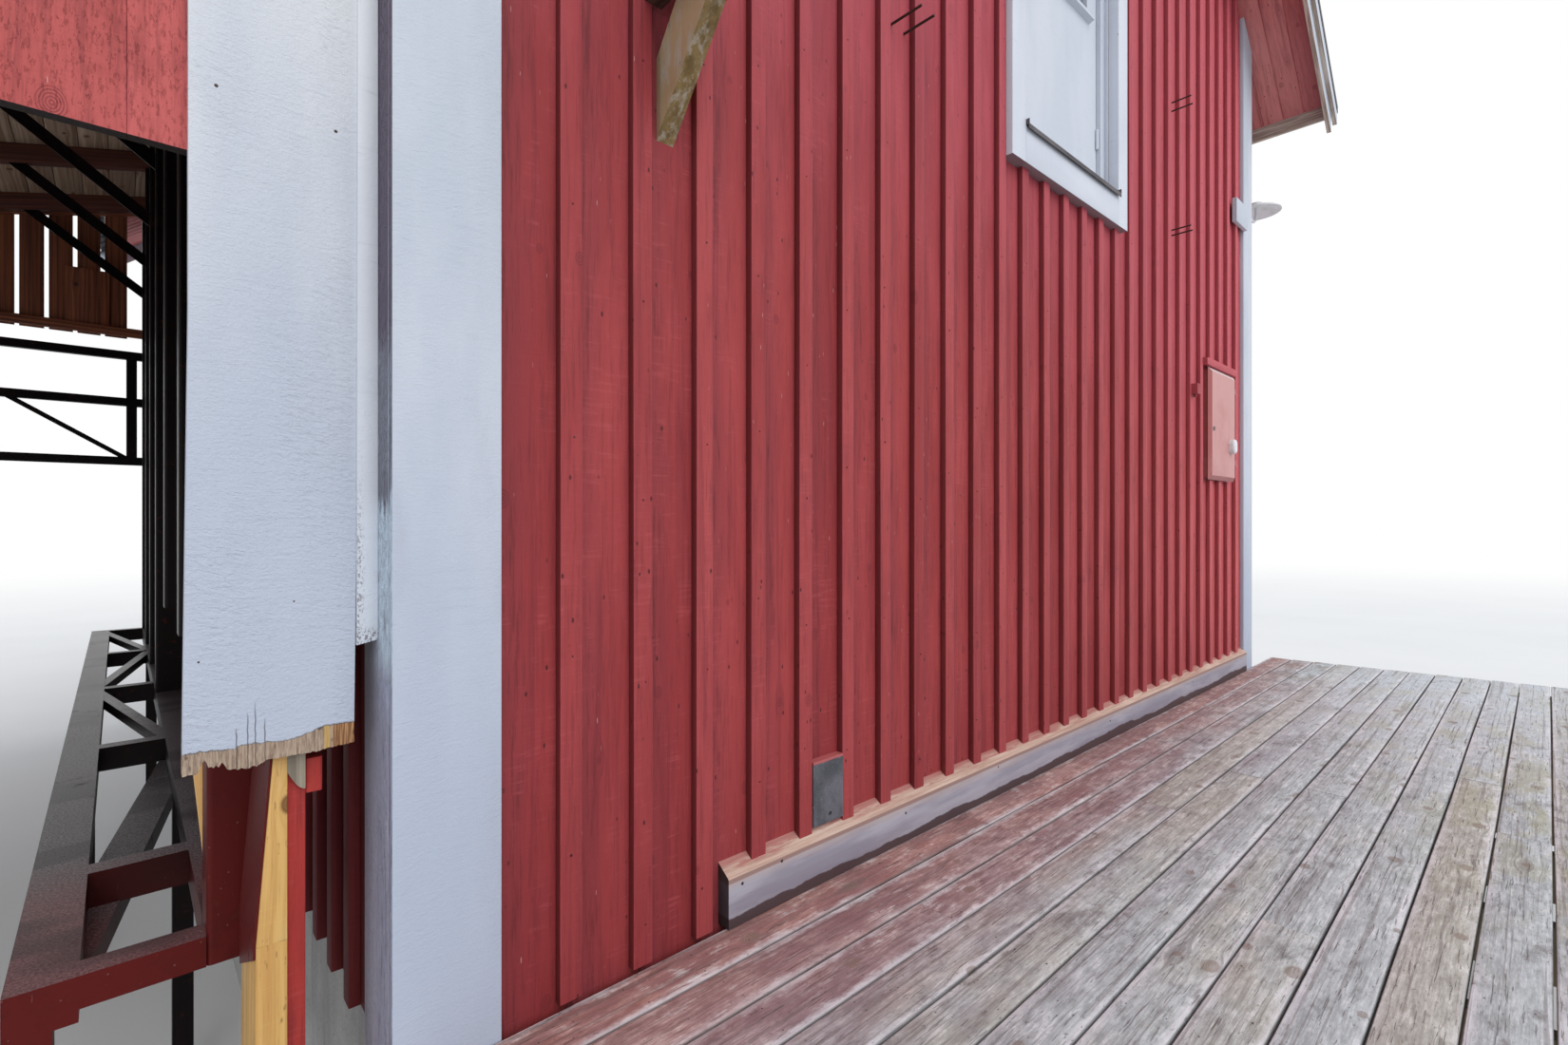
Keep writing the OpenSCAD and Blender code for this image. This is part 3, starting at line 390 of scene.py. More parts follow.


# %% [markdown]
# ## Red paint on sawn boards
# The gables are boards with battens nailed over their joints. The paint is a matt red that has gone over rough
# wood, so it shows streaks along the grain, faint marks of the saw across it, a few knots and small dark
# specks. Where the sun reaches it, it has turned chalky and pinker. All of it is made from stretched noise. A
# wall is one slab, so its boards get their own tones and seams from the place across the wall, and each board
# carries a painted shade of the battens: broad beside one batten, narrow beside the next. Other options paint
# shade on the sides of boards, on the walls under the bay's roof and on the faces that look down.

# %% The red paint
BOARD_ROWS = {"x": (-2.291, 0.1697), "y": (0.185, 0.165)}  # the first seam of a wall, and the boards' pitch
FADED = rgb(182, 84, 88)


def red_paint(name, upright_axis=None, bright=(158, 62, 65), deep=(134, 44, 47), rough_sawn=1.0,
              sides=0.0, ends=0.0, faded=1.0, bay_shade=0.0, flecks=0.0):
    """Red paint, for boards of a pile, or for a wall whose boards stand side by side along an axis."""
    p = Paint(name)
    x, y, z = p.split(p.place())
    if upright_axis is None:
        v, tone = p.grain(), p.tone()
    else:
        first, pitch = BOARD_ROWS[upright_axis]
        wide, deep_in = (x, y) if upright_axis == "x" else (y, x)
        line = (wide - first) / pitch
        tone = p.node("TexWhiteNoise", {"noise_dimensions": "1D"}, {"W": p.one("FLOOR", line)})
        v = p.node("CombineXYZ", None, {0: z + tone * 40, 1: wide, 2: deep_in})
    grain, rings, knot = knotty_grain(p, v, lines=5.0, knots=(2.1, 8.0), size=0.1 + flecks * 0.1, share=0.55)
    patch = p.noise(p.stretch(v, (1.6, 7, 7)), detail=4, rough=0.6)
    blotch = p.noise(p.stretch(v, (4, 15, 15)), detail=5, rough=0.7)
    fibre = p.noise(p.stretch(v, (8, 140, 140)), detail=3, rough=0.7)
    brushed = p.noise(p.stretch(v, (3, 60, 60)), detail=4, rough=0.7)
    saw = p.noise(p.stretch(v, (130, 12, 12)), detail=3, rough=0.65)
    colour = p.mix(rgb(*deep), rgb(*bright), p.step(tone * 0.4 + patch * 0.9 + blotch * 0.3, 0.5, 1.15))
    sun = p.step(x * 0.15 + z * 0.06 + patch * 0.6, 0.28, 0.9) * faded
    colour = p.mix(colour, FADED, sun * 0.9)
    colour = p.mix(colour, rgb(216, 104, 108), p.step(x + patch, 0.6, 3.0) * faded * 0.4)
    colour = p.mix(colour, shaded(deep), p.step(z + patch * 0.3, 1.9, 1.2) * 0.22)
    colour = p.mix(colour, rgb(122, 46, 56), p.step(blotch, 0.54, 0.7) * 0.3)
    rubbed = p.step(fibre * 0.65 + brushed * 0.45, 0.54, 0.7)
    if upright_axis is None:
        worn = rubbed * 0.32
        colour = p.mix(colour, FADED, p.step(p.rim(), 0.86, 0.98) * p.step(fibre, 0.4, 0.6) * 0.5)
    else:
        share = p.one("FRACT", line)
        # Painted shade of the batten, broad where a board leaves it; the worn marks are stronger inside it.
        shadow = p.step(share + (patch - 0.5) * 0.5, 0.6, 0.16)
        colour = p.mix(colour, rgb(118, 52, 60), shadow * 0.42)
        worn = rubbed * (0.3 + shadow * 0.3)
        # Painted shade: a narrow dark band on the board just before the next batten.
        colour = p.mix(colour, rgb(74, 22, 26), p.step(share, 0.86, 0.93) * 0.3)
        seam = p.step(share, 0.158, 0.147) * p.step(brushed, 0.42, 0.6)
        colour = p.mix(colour, rgb(66, 22, 26), seam * 0.8)
    colour = p.mix(colour, rgb(84, 28, 34), worn)
    ridge = p.step(saw, 0.52, 0.7) * p.step(blotch + patch, 0.95, 1.15)
    colour = p.mix(colour, FADED, ridge * 0.32 * rough_sawn)
    colour = p.mix(colour, rgb(96, 30, 38), (1 - rings) * knot * 0.6)
    colour = p.mix(colour, rgb(100, 34, 42), p.step(grain, 0.52, 0.66) * 0.32)
    speck = p.step(p.cells(p.stretch(v, (15, 30, 30))), 0.11, 0.06) * p.step(patch, 0.44, 0.52)
    colour = p.mix(colour, rgb(62, 18, 24), speck * 0.85)
    fleck = p.step(p.cells(p.stretch(v, (13, 70, 70))), 0.1, 0.06) * p.step(patch, 0.45, 0.39)
    colour = p.mix(colour, rgb(206, 160, 158), fleck * 0.5)
    colour = p.mix(colour, rgb(178, 76, 96), p.step(z + patch + x * 0.2, 2.8, 4.2) * faded * 0.35)
    nx, _, nz = p.facing()
    # Sides of boards that face along x are painted darker, more so towards the near end: partly red paint that
    # has faded less, partly painted shade.
    if sides:
        near = p.step(x, 2.0, -1.6) * 0.6 + 0.4
        colour = p.mix(colour, rgb(84, 22, 25), p.step(nx * nx, 0.5, 0.8) * near * sides)
    # Painted shade: boards past x = -2.5, under the bay's roof, are painted dark.
    if bay_shade:
        colour = p.mix(colour, rgb(84, 20, 24), p.step(x, -2.5, -2.56) * bay_shade)
    if flecks:
        rag = p.streaks(v, 60, 210, 0.55, 0.64, detail=6, rough=0.8)
        torn = rag * p.step(patch * 0.6 + blotch * 0.4, 0.47, 0.6) * flecks
        colour = p.mix(colour, rgb(120, 50, 52), torn)
        around = p.streaks(p.place(), 9, 9, 0.5, 0.68, detail=4)
        colour = p.mix(colour, rgb(140, 58, 58), around * flecks * 0.5)
        saw = saw + rag
    # Painted shade: faces that look down, such as the boards' bottom ends, are painted near black.
    if ends:
        colour = p.mix(colour, rgb(34, 24, 25), p.step(nz, -0.5, -0.8) * ends)
    height = brushed * 0.5 + fibre * 0.5 * rough_sawn + saw * 0.4 * rough_sawn + grain * 0.4
    return p.finish(colour, rough=0.7, height=height, strength=0.7, depth=0.0028, Specular_IOR_Level=0.3)


red_batten = red_paint("red_batten", bright=(170, 72, 74), deep=(148, 54, 57), sides=0.7, bay_shade=0.8)
red_gable = red_paint("red_gable", "x", bright=(166, 66, 68), deep=(142, 48, 51))
red_side = red_paint("red_side", "y", bay_shade=0.8)
dress(red_gable, "front_wall", "back_wall")
dress(red_side, "left_wall", "right_wall")

# %% [markdown]
# ## Battens
# The battens are 48 mm wide and stand 170 mm apart. They stop under the roof, at the door's casing, at the
# meter cabinet and on the sill board, so every row is cut into runs. The solids give the free places: each
# run is read from the solid's own corners, which keeps the boards and the solids together.


# %% The runs of a row of battens
def runs_of(node):
    """The upright solids of a node, each as its low and high corner."""
    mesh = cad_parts[node].data
    parent = list(range(len(mesh.vertices)))

    def find(a):
        while parent[a] != a:
            parent[a] = parent[parent[a]]
            a = parent[a]
        return a

    keys = {}
    for v in mesh.vertices:
        key = tuple(round(c, 5) for c in v.co)
        if key in keys:
            parent[find(v.index)] = find(keys[key])
        else:
            keys[key] = v.index
    for e in mesh.edges:
        parent[find(e.vertices[0])] = find(e.vertices[1])
    groups = {}
    for v in mesh.vertices:
        groups.setdefault(find(v.index), []).append(v.co)
    corners = []
    for points in groups.values():
        array = np.array([list(c) for c in points])
        corners.append((array.min(0), array.max(0)))
    return sorted(corners, key=lambda c: tuple(np.round(c[0], 3)))


gable_runs = runs_of("gable_battens")
side_runs = runs_of("side_battens")
print("gable runs", len(gable_runs), "side runs", len(side_runs))

# %% Battens with nails
BATTEN_WIDE, BATTEN_THICK = 0.048, 0.022
battens = Pile(3)
nails = Pile(4)
uniform = battens.random.uniform
for low, high in gable_runs:
    x, y, _ = middle(low, high)
    face, slope = gable_face(low, x)
    under_roof = high[2] > soffit_at(x) - 0.05
    top = soffit_at(x) if under_roof else high[2]
    battens.board((x, y, low[2]), (x, y, top), high[0] - low[0], BATTEN_THICK, face, every=0.5, bow=0.0009,
                  slant=(0, slope if under_roof else 0))
    z = low[2] + uniform(0.08, 0.3)
    while z < top - 0.06:
        where = (x + uniform(-0.008, 0.008), low[1] if face[1] < 0 else high[1], z)
        nails.nail(where, face, radius=uniform(0.0022, 0.0034))
        z += uniform(0.28, 0.55)
for low, high in side_runs:
    x, y, _ = middle(low, high)
    face = (1 if x > 0 else -1, 0, 0)
    battens.board((x, y, low[2]), (x, y, high[2]), BATTEN_WIDE, BATTEN_THICK, face, every=1.2, bow=0.0007)
battens.build("battens", red_batten, "red_boards", stands_for=("gable_battens", "side_battens"))
red_nail = red_paint("red_nail", bright=(92, 30, 34), deep=(66, 22, 26), faded=0.3)
nails.build("batten_nails", red_nail, "red_boards")

# %% [markdown]
# ## White paint
# The corner boards and the boards round the doors are white, but never one white: the paint lies over a rough
# sawn face, so fine creases run nearly level across the board, pores sit close together, and grey dirt lies
# here and there. Low down the white is bluer. The narrow side of the left corner faces away from the light and
# has weathered to lilac grey with a bleached band; its top band is painted dark as the shade of the roof, and
# low down its deeper part is painted lighter to make up for the shade of the boards beside it. Masks on the
# normal, the height and the depth give this. Undersides can take a painted shade. Where a board's foot is
# broken or its edges were never painted, the bare wood has its own colours.


# %% A board's own directions on a solid
def along_axis(p, axis):
    """Grain directions for a CAD solid whose wood runs along x, y or z."""
    x, y, z = p.split(p.place())
    if axis == "slope":
        x = p.one("ABSOLUTE", x)
        run, rise = math.cos(PITCH), math.sin(PITCH)
        return p.node("CombineXYZ", None, {0: x * run - z * rise, 1: x * rise + z * run, 2: y})
    parts = {"x": (x, y + z, y - z), "y": (y, x + z, x - z), "z": (z, x + y, x - y)}[axis]
    return p.node("CombineXYZ", None, dict(enumerate(parts)))


# %% The white paint
def white_paint(name, axis=None, bright=(197, 202, 213), shade=(183, 190, 202), rough_sawn=1.0, dirt=0.2,
                corner_side=0.0, raw_foot=None, peeling=0.0, bare_edges=False, under=0.0, depth=0.002,
                cool=(0.75, 2.9, 1.3)):
    """White paint. cool is how much bluer it is low down, and between which heights."""
    p = Paint(name)
    v = along_axis(p, axis) if axis else p.grain()
    x, y, z = p.split(p.place())
    nx, _, nz = p.facing()
    along, across, through = p.split(v)
    cloud = p.noise(p.stretch(v, (1.3, 4, 4)), detail=4)
    lean = {0: (along + across * 0.3) * 135, 1: (across - along * 0.3) * 42, 2: through * 60}
    slanted = p.node("CombineXYZ", None, lean)
    crease = p.noise(slanted, detail=3, rough=0.62, twist=0.7)
    rough_patch = p.step(p.noise(p.stretch(v, (2.6, 7, 7)), detail=2), 0.4, 0.6) * 0.85 + 0.15
    level = p.noise(p.stretch(v, (120, 9, 9)), detail=2, rough=0.65)
    pores = p.noise(p.stretch(v, (230, 150, 150)), detail=3, rough=0.7)
    colour = p.mix(rgb(*shade), rgb(*bright), p.step(cloud, 0.36, 0.64))
    bluer, blue_from, blue_to = cool
    colour = p.mix(colour, rgb(170, 180, 199), p.step(z + (cloud - 0.5) * 0.5, blue_from, blue_to) * bluer)
    colour = p.mix(colour, rgb(150, 156, 170), p.step(crease, 0.6, 0.74) * rough_patch * 0.22 * rough_sawn)
    colour = p.mix(colour, rgb(166, 172, 186), p.step(level, 0.58, 0.75) * 0.2)
    grime = p.streaks(v, 2.0, 8, 0.56, 0.8, detail=5) * dirt
    colour = p.mix(colour, rgb(150, 146, 158), grime)
    dent = p.step(p.cells(p.stretch(v, (5, 9, 9))), 0.028, 0.012)
    colour = p.mix(colour, rgb(98, 94, 104), dent * 0.7)
    height = crease * rough_patch * 0.6 * rough_sawn + level * 0.2 * rough_sawn + pores * 0.42 * rough_sawn
    rough = 0.55 + grime * 0.3
    if corner_side:
        side = p.step(nx * nx, 0.5, 0.8) * p.step(x, -2.2, -2.4) * p.step(y, 3.0, 2.0) * corner_side
        worn = p.noise(p.stretch(v, (7, 60, 60)), detail=5, rough=0.75)
        uneven = z + (worn - 0.5) * 0.24
        # Bands of weathered paint; the dark top band is painted shade of the roof.
        weather_and_shade = p.mix(rgb(82, 68, 88), rgb(116, 118, 132), p.step(uneven, 2.45, 2.35))
        weather_and_shade = p.mix(weather_and_shade, rgb(189, 205, 219), p.step(uneven, 2.15, 2.1))
        weather_and_shade = p.mix(weather_and_shade, rgb(149, 150, 172), p.step(uneven, 1.86, 1.79))
        weather_and_shade = p.mix(weather_and_shade, rgb(64, 56, 70), p.step(worn, 0.53, 0.62) * 0.5)
        weather_and_shade = p.mix(weather_and_shade, rgb(176, 186, 200), p.step(worn, 0.44, 0.36) * p.step(z, 2.5, 2.3) * 0.5)
        relief = p.streaks(v, 55, 130, 0.5, 0.62, detail=5, rough=0.7)
        # Painted light: the deeper part low down is lightened to make up for the shade of the boards beside
        # it.
        weather_and_shade = p.mix(weather_and_shade, rgb(186, 180, 198), p.step(y, -0.08, -0.03) * p.step(z, 2.05, 1.95) * 0.55)
        weather_and_shade = p.mix(weather_and_shade, rgb(196, 190, 206), relief * p.step(z, 2.1, 1.9) * 0.35)
        colour = p.mix(colour, weather_and_shade, side)
        height = height + (worn * 0.8 + relief * 0.8) * side
    if peeling:
        flake = p.step(p.noise(p.stretch(v, (190, 330, 330)), detail=3, rough=0.7), 0.52, 0.6)
        edge = p.step(x, -2.644, -2.656) * p.step(z + (cloud - 0.5) * 0.3, 2.3, 2.0) * 0.7
        foot = p.step(z, 1.905, 1.885) * 0.8
        flake = flake * p.node("Math", {"operation": "MAXIMUM"}, {0: edge, 1: foot}) * peeling
        colour = p.mix(colour, rgb(86, 68, 78), flake)
        height = height - flake * 0.5
    if raw_foot:
        edge = raw_foot + (p.noise(p.stretch(v, (7, 28, 9)), detail=5, rough=0.7) - 0.5) * 0.022
        edge = edge + p.step(x, -2.76, -2.7) * 0.01
        bare = p.step(z - edge, 0.0015, -0.0015)
        felt = p.noise(p.stretch(v, (38, 260, 260)), detail=5, rough=0.7)
        lines = p.noise(p.stretch(v, (12, 330, 330)), detail=3)
        raw = p.mix(rgb(138, 116, 100), rgb(190, 168, 148), p.step(felt * 0.6 + lines * 0.4, 0.36, 0.62))
        orange = p.mix(rgb(128, 88, 58), rgb(194, 146, 102), p.step(lines, 0.38, 0.6))
        raw = p.mix(raw, orange, p.step(x, -2.699, -2.692))
        raw = p.mix(raw, rgb(206, 166, 84), p.step(x, -2.7095, -2.7075) * p.step(x, -2.6985, -2.7005) * 0.7)
        raw = p.mix(raw, rgb(64, 46, 38), p.streaks(v, 40, 90, 0.6, 0.7) * 0.7)
        colour = p.mix(colour, raw, bare)
        wander = (p.noise(p.stretch(v, (30, 0, 0)), detail=2) - 0.5) * 0.006
        split = 0
        for x0, tall in ((-2.8305, 0.035), (-2.8157, 0.06), (-2.8055, 0.075), (-2.7927, 0.045)):
            thin = p.step(p.one("ABSOLUTE", x - x0 + wander), 0.0009, 0.0003)
            split = split + thin * p.step(z - edge, tall, tall * 0.4)
        colour = p.mix(colour, rgb(92, 84, 88), split * 0.6)
        height = height * (1 - bare) + felt * bare * 1.2 - bare * 0.7 - split
        rough = rough + bare * 0.25
    if bare_edges:
        inward = nx * p.one("SIGN", x)
        fine = p.noise(p.stretch(v, (5, 90, 90)), detail=4)
        bare_wood = p.mix(rgb(150, 134, 122), rgb(196, 184, 172), p.step(fine, 0.4, 0.65))
        colour = p.mix(colour, bare_wood, p.step(nz, -0.5, -0.7))
        colour = p.mix(colour, bare_wood, p.step(inward, -0.8, -0.95))
    # Painted shade on faces that look down.
    if under:
        colour = p.mix(colour, rgb(112, 78, 82), p.step(nz, -0.5, -0.8) * under)
    return p.finish(colour, rough=rough, height=height, strength=0.9, depth=depth, Specular_IOR_Level=0.35)


# %% [markdown]
# ## Corner boards
# Two boards meet at each corner: a wide one on the gable that hides the edge of a narrower one on the side.
# The wide one's top is cut to the slope of the roof.

# %% Corner boards
CORNER_THICK = 0.025
corner = Pile(11)
for low, high in runs_of("corner_boards"):
    x, y, _ = middle(low, high)
    along_gable, along_side = high[0] - low[0], high[1] - low[1]
    if along_gable > along_side:
        face, slope = gable_face(low, x)
        corner.board((x, y, low[2]), (x, y, soffit_at(x)), along_gable, CORNER_THICK, face, radius=0.002,
                     slant=(0, slope), bow=0.0004)
    else:
        face = (1 if x > 0 else -1, 0, 0)
        corner.board((x, y, low[2]), (x, y, high[2]), along_side, CORNER_THICK, face, radius=0.002,
                     bow=0.0003)
corner_white = white_paint("corner_white", corner_side=0.95)
corner.build("corner_boards_white", corner_white, "white_trim", stands_for=("corner_boards",))

# %% [markdown]
# ## Wood with knots
# Bare, oiled and weathered wood share one recipe: grain lines that part round the knots, fine fibres along
# the board, marks of the saw across it, and a tone that differs from board to board. What is special to one
# kind of wood, such as a stain or a wet foot, is a short function that the recipe calls at its end.


# %% Planed and sawn wood
def wood(name, light, dark, knot_colour, axis=None, lines=9.0, contrast=1.0, sawn=0.3, rough=0.7,
         tone_by=0.35, share=0.5, extra=None):
    """Bare or oiled wood; extra changes its colour at the end."""
    p = Paint(name)
    v = along_axis(p, axis) if axis else p.grain()
    grain, rings, knot = knotty_grain(p, v, lines=lines, share=share)
    fibre = p.noise(p.stretch(v, (11, 380, 380)), detail=3)
    marks = p.noise(p.stretch(v, (330, 8, 16)), detail=3)
    line = p.step(grain, 0.36, 0.64)
    colour = p.mix(rgb(*dark), rgb(*light), line * contrast + (1 - contrast) * 0.55)
    if axis is None:
        colour = p.mix(colour, shaded(dark), p.tone() * tone_by)
    colour = p.mix(colour, shaded(dark), p.step(fibre, 0.54, 0.76) * 0.35)
    colour = p.mix(colour, rgb(*light), p.step(marks, 0.56, 0.76) * 0.25)
    ringed = p.mix(rgb(*knot_colour), shaded(knot_colour, 0.45), rings * 0.7)
    colour = p.mix(colour, ringed, knot * 0.85)
    if extra:
        colour = extra(p, v, colour, grain)
    height = line * 0.4 + fibre * 0.3 + marks * sawn + knot * 0.4
    return p.finish(colour, rough=rough, height=height, strength=0.55, depth=0.0012, Specular_IOR_Level=0.35)


# %% [markdown]
# ## The deck
# The deck's boards lie 5 mm apart. Rain that runs off the red wall has stained the nearest boards red, the
# next ones are lilac, and sun and feet have bleached the rest to pale grey and tan. All this depends on where
# a board lies, so the material reads the place on the house as well as the place in the board. Each board has
# its own noise, and the heads of its nails stand in pairs over the joists.


# %% Deck wood
def deck_paint():
    """Grey weathered wood with pale worn edges, redder the nearer a board lies to the wall."""
    p = Paint("deck_wood")
    v, tone, rim = p.grain(), p.tone(), p.rim()
    x, y, _ = p.split(p.place())
    grain, rings, knot = knotty_grain(p, v, lines=11.0, knots=(2.1, 8.0), size=0.14, share=0.55)
    fibre = p.noise(p.stretch(v, (14, 230, 230)), detail=2, rough=0.7)
    fine = p.noise(p.stretch(v, (11, 90, 90)), detail=4, rough=0.8)
    mottle = p.noise(p.stretch(v, (13, 24, 24)), detail=5, rough=0.78)
    blot = p.noise(p.stretch(v, (3.2, 9, 9)), detail=3, rough=0.65)
    drift = p.noise(p.stretch(v, (0.9, 4, 4)), scale=1.3, detail=2)
    soft = p.noise(p.place(), scale=3.5, detail=3, rough=0.6)
    streak = fine * 0.4 + fibre * 0.25 + mottle * 0.35
    own = tone * 0.8 + drift * 0.5 + (soft - 0.5) * 0.5
    grey = p.mix(rgb(157, 162, 164), rgb(221, 228, 232), p.step(streak, 0.36, 0.68))
    tan = p.mix(rgb(156, 149, 138), rgb(218, 215, 205), p.step(streak, 0.36, 0.68))
    colour = p.mix(grey, tan, p.step(own, 0.6, 0.9) * 0.75)
    moss = p.step(blot + soft * 0.5, 0.7, 0.88) * p.step(x * 0.4 - y, 0.9, 1.9)
    colour = p.mix(colour, rgb(162, 158, 112), moss * 0.6)
    lilac = p.mix(rgb(142, 132, 140), rgb(208, 203, 209), p.step(streak, 0.38, 0.68))
    between = p.step(y + (blot - 0.5) * 0.4, -0.9, -0.55) * p.step(own, 0.85, 0.5) * p.step(x, 1.4, -0.6)
    colour = p.mix(colour, lilac, between * 0.85)
    near = p.step(y - x * 0.04 + (drift - 0.5) * 0.3 + (soft - 0.5) * 0.3, -0.66, -0.24)
    red = p.mix(rgb(152, 100, 94), rgb(218, 174, 166), p.step(streak, 0.38, 0.7))
    red = p.mix(red, rgb(170, 104, 96), p.step(blot, 0.46, 0.62) * 0.6)
    colour = p.mix(colour, red, near * (0.72 + tone * 0.28))
    # Painted shade: dark lilac patches on the boards near the wall.
    purple_shade = p.step(blot + drift * 0.4, 0.6, 0.82)
    colour = p.mix(colour, rgb(116, 92, 102), purple_shade * p.step(y, -1.0, -0.5) * 0.4)
    bleached = p.step(x + (soft - 0.5) * 1.5, -0.2, 2.6) * p.step(y, -0.42, -0.66)
    colour = p.mix(colour, rgb(210, 214, 222), bleached * 0.55)
    pale = p.step(rim + (mottle - 0.5) * 0.9, 0.6, 1.0) * p.step(drift, 0.4, 0.56)
    colour = p.mix(colour, rgb(232, 231, 236), pale * 0.6)
    worn = p.step(fine * 0.5 + mottle * 0.6, 0.58, 0.7) * p.step(soft, 0.36, 0.6)
    colour = p.mix(colour, rgb(236, 235, 234), worn * 0.5)
    damp = p.step(mottle * 0.6 + soft * 0.5, 0.5, 0.38)
    colour = p.mix(colour, rgb(112, 98, 98), damp * 0.45)
    colour = p.mix(colour, rgb(108, 94, 92), p.step(grain, 0.54, 0.6) * 0.42)
    check = p.streaks(v, 9, 170, 0.64, 0.68, detail=2)
    crack = p.streaks(v, 60, 110, 0.66, 0.72, detail=2)
    colour = p.mix(colour, rgb(76, 60, 60), (check + crack) * 0.45)
    ringed = p.mix(rgb(158, 134, 118), rgb(104, 84, 76), rings * 0.75 + mottle * 0.4)
    colour = p.mix(colour, ringed, knot * 0.55)
    dot = p.cells(p.stretch(v, (26, 40, 40))) + (mottle - 0.5) * 0.2
    speck = p.step(dot, 0.075, 0.045) * p.step(soft, 0.42, 0.5)
    colour = p.mix(colour, rgb(62, 50, 50), speck * 0.8)
    colour = p.mix(colour, rgb(74, 68, 66), p.step(rim, 0.95, 1.0) * 0.6)
    height = streak * 0.9 + grain * 0.5 - check * 0.8
    return p.finish(colour, rough=0.78, height=height, strength=0.8, depth=0.0022, Specular_IOR_Level=0.3)


deck_wood = deck_paint()
deck_dark = wood("deck_structure_wood", (150, 136, 112), (104, 90, 70), (80, 62, 46), axis="y", contrast=0.8)
dress(deck_dark, "deck_frame", "deck_posts")

# %% Deck boards and nails
JOINT = 0.0008  # half of the gap where two boards of one row meet
NAIL_SIDE = 0.036  # how far the nails lie from the middle of a board
deck = Pile(21)
deck_nails = Pile(22)
uniform = deck.random.uniform
joists = [-2.5825 + i * 0.5635 for i in range(11)]
for low, high in runs_of("deck_boards"):
    _, y, z = middle(low, high)
    cuts = [low[0]] + deck.random.sample(joists[2:9], 1) + [high[0]]
    for a, b in zip(cuts, cuts[1:]):
        deck.board((a + JOINT, y, z), (b - JOINT, y, z), high[1] - low[1], high[2] - low[2], (0, 0, 1),
                   radius=0.003, every=0.35, bow=0.0012, steps=3)
    for x in joists:
        for side in (-NAIL_SIDE, NAIL_SIDE):
            where = (x + uniform(-0.01, 0.01), y + side + uniform(-0.006, 0.006), high[2])
            deck_nails.nail(where, (0, 0, 1), radius=0.002, proud=0.0003)
deck.build("deck_boards_worn", deck_wood, "deck_timber", stands_for=("deck_boards",))


# %% Dark metal of nails, pins and screws
def iron_paint():
    """Dark iron with brown spots of rust."""
    p = Paint("iron_dark")
    v = p.place()
    spots = p.step(p.noise(v, scale=160, detail=4), 0.45, 0.65)
    mixed = p.mix(rgb(58, 48, 46), rgb(92, 58, 44), spots * 0.7)
    grit = p.noise(v, scale=700, detail=2)
    return p.finish(mixed, rough=0.5 + spots * 0.3, height=grit, strength=0.4, depth=0.0005, Metallic=0.55)


iron = iron_paint()
deck_nails.build("deck_nails", iron, "deck_timber")
dress(iron, "iron_pins")

# %% [markdown]
# ## The sill board
# The battens stand on a board with a sloping top that throws the water off. It is one long piece with five
# corners in its section, so it gets its own outline. Its top is fresh pine with smears of red, its face is
# lilac grey, and its foot is dark where it stays wet.


# %% Sill wood
def sill_marks(p, v, colour, grain):
    """Fresh wood with smears of red on the slope, a brown line under it, a dark wet foot, a painted highlight
    on the nose and a painted shade on the end.
    """
    _, y, z = p.split(p.place())
    nx, _, nz = p.facing()
    wave = p.noise(p.stretch(v, (4, 1, 1)), detail=5, rough=0.6)
    fine = p.noise(p.stretch(v, (5, 120, 120)), detail=4, rough=0.65)
    cloud = p.noise(p.stretch(v, (2, 14, 14)), detail=4)
    lilac = p.mix(rgb(150, 146, 160), rgb(178, 176, 188), p.step(cloud, 0.4, 0.62))
    lilac = p.mix(lilac, rgb(128, 112, 122), p.step(fine, 0.56, 0.72) * 0.3)
    colour = p.mix(colour, lilac, 0.8)
    warm = p.step(z + (wave - 0.5) * 0.04, 1.185, 1.205)
    colour = p.mix(colour, rgb(178, 158, 150), warm * 0.45)
    colour = p.mix(colour, rgb(140, 104, 92), p.step(z + (fine - 0.5) * 0.006, 1.208, 1.213) * 0.8)
    tide = (p.noise(p.stretch(v, (1.2, 1, 1)), detail=1) - 0.5) * 0.06
    foot = p.step(z - (wave - 0.5) * 0.05 - tide, 1.134, 1.129)
    colour = p.mix(colour, p.mix(rgb(84, 58, 58), rgb(62, 44, 46), cloud), foot * 0.92)
    top = p.step(nz, 0.25, 0.5)
    smear = p.streaks(v, 7, 60, 0.46, 0.62, detail=5, rough=0.7)
    bare = p.mix(rgb(204, 178, 162), rgb(172, 136, 122), p.step(grain * 0.5 + fine * 0.5, 0.4, 0.62))
    bare = p.mix(bare, rgb(160, 86, 84), p.step(y + (smear - 0.5) * 0.016, -0.156, -0.136) * 0.75)
    colour = p.mix(colour, bare, top)
    # Painted highlight along the nose of the slope.
    lip = p.step(nz, 0.2, 0.6) * p.step(z, 1.2235, 1.219)
    colour = p.mix(colour, rgb(224, 196, 176), lip * 0.8)
    # Painted shade: the end face that looks along -x goes near black.
    return p.mix(colour, rgb(44, 32, 34), p.step(nx, -0.6, -0.9) * 0.9)


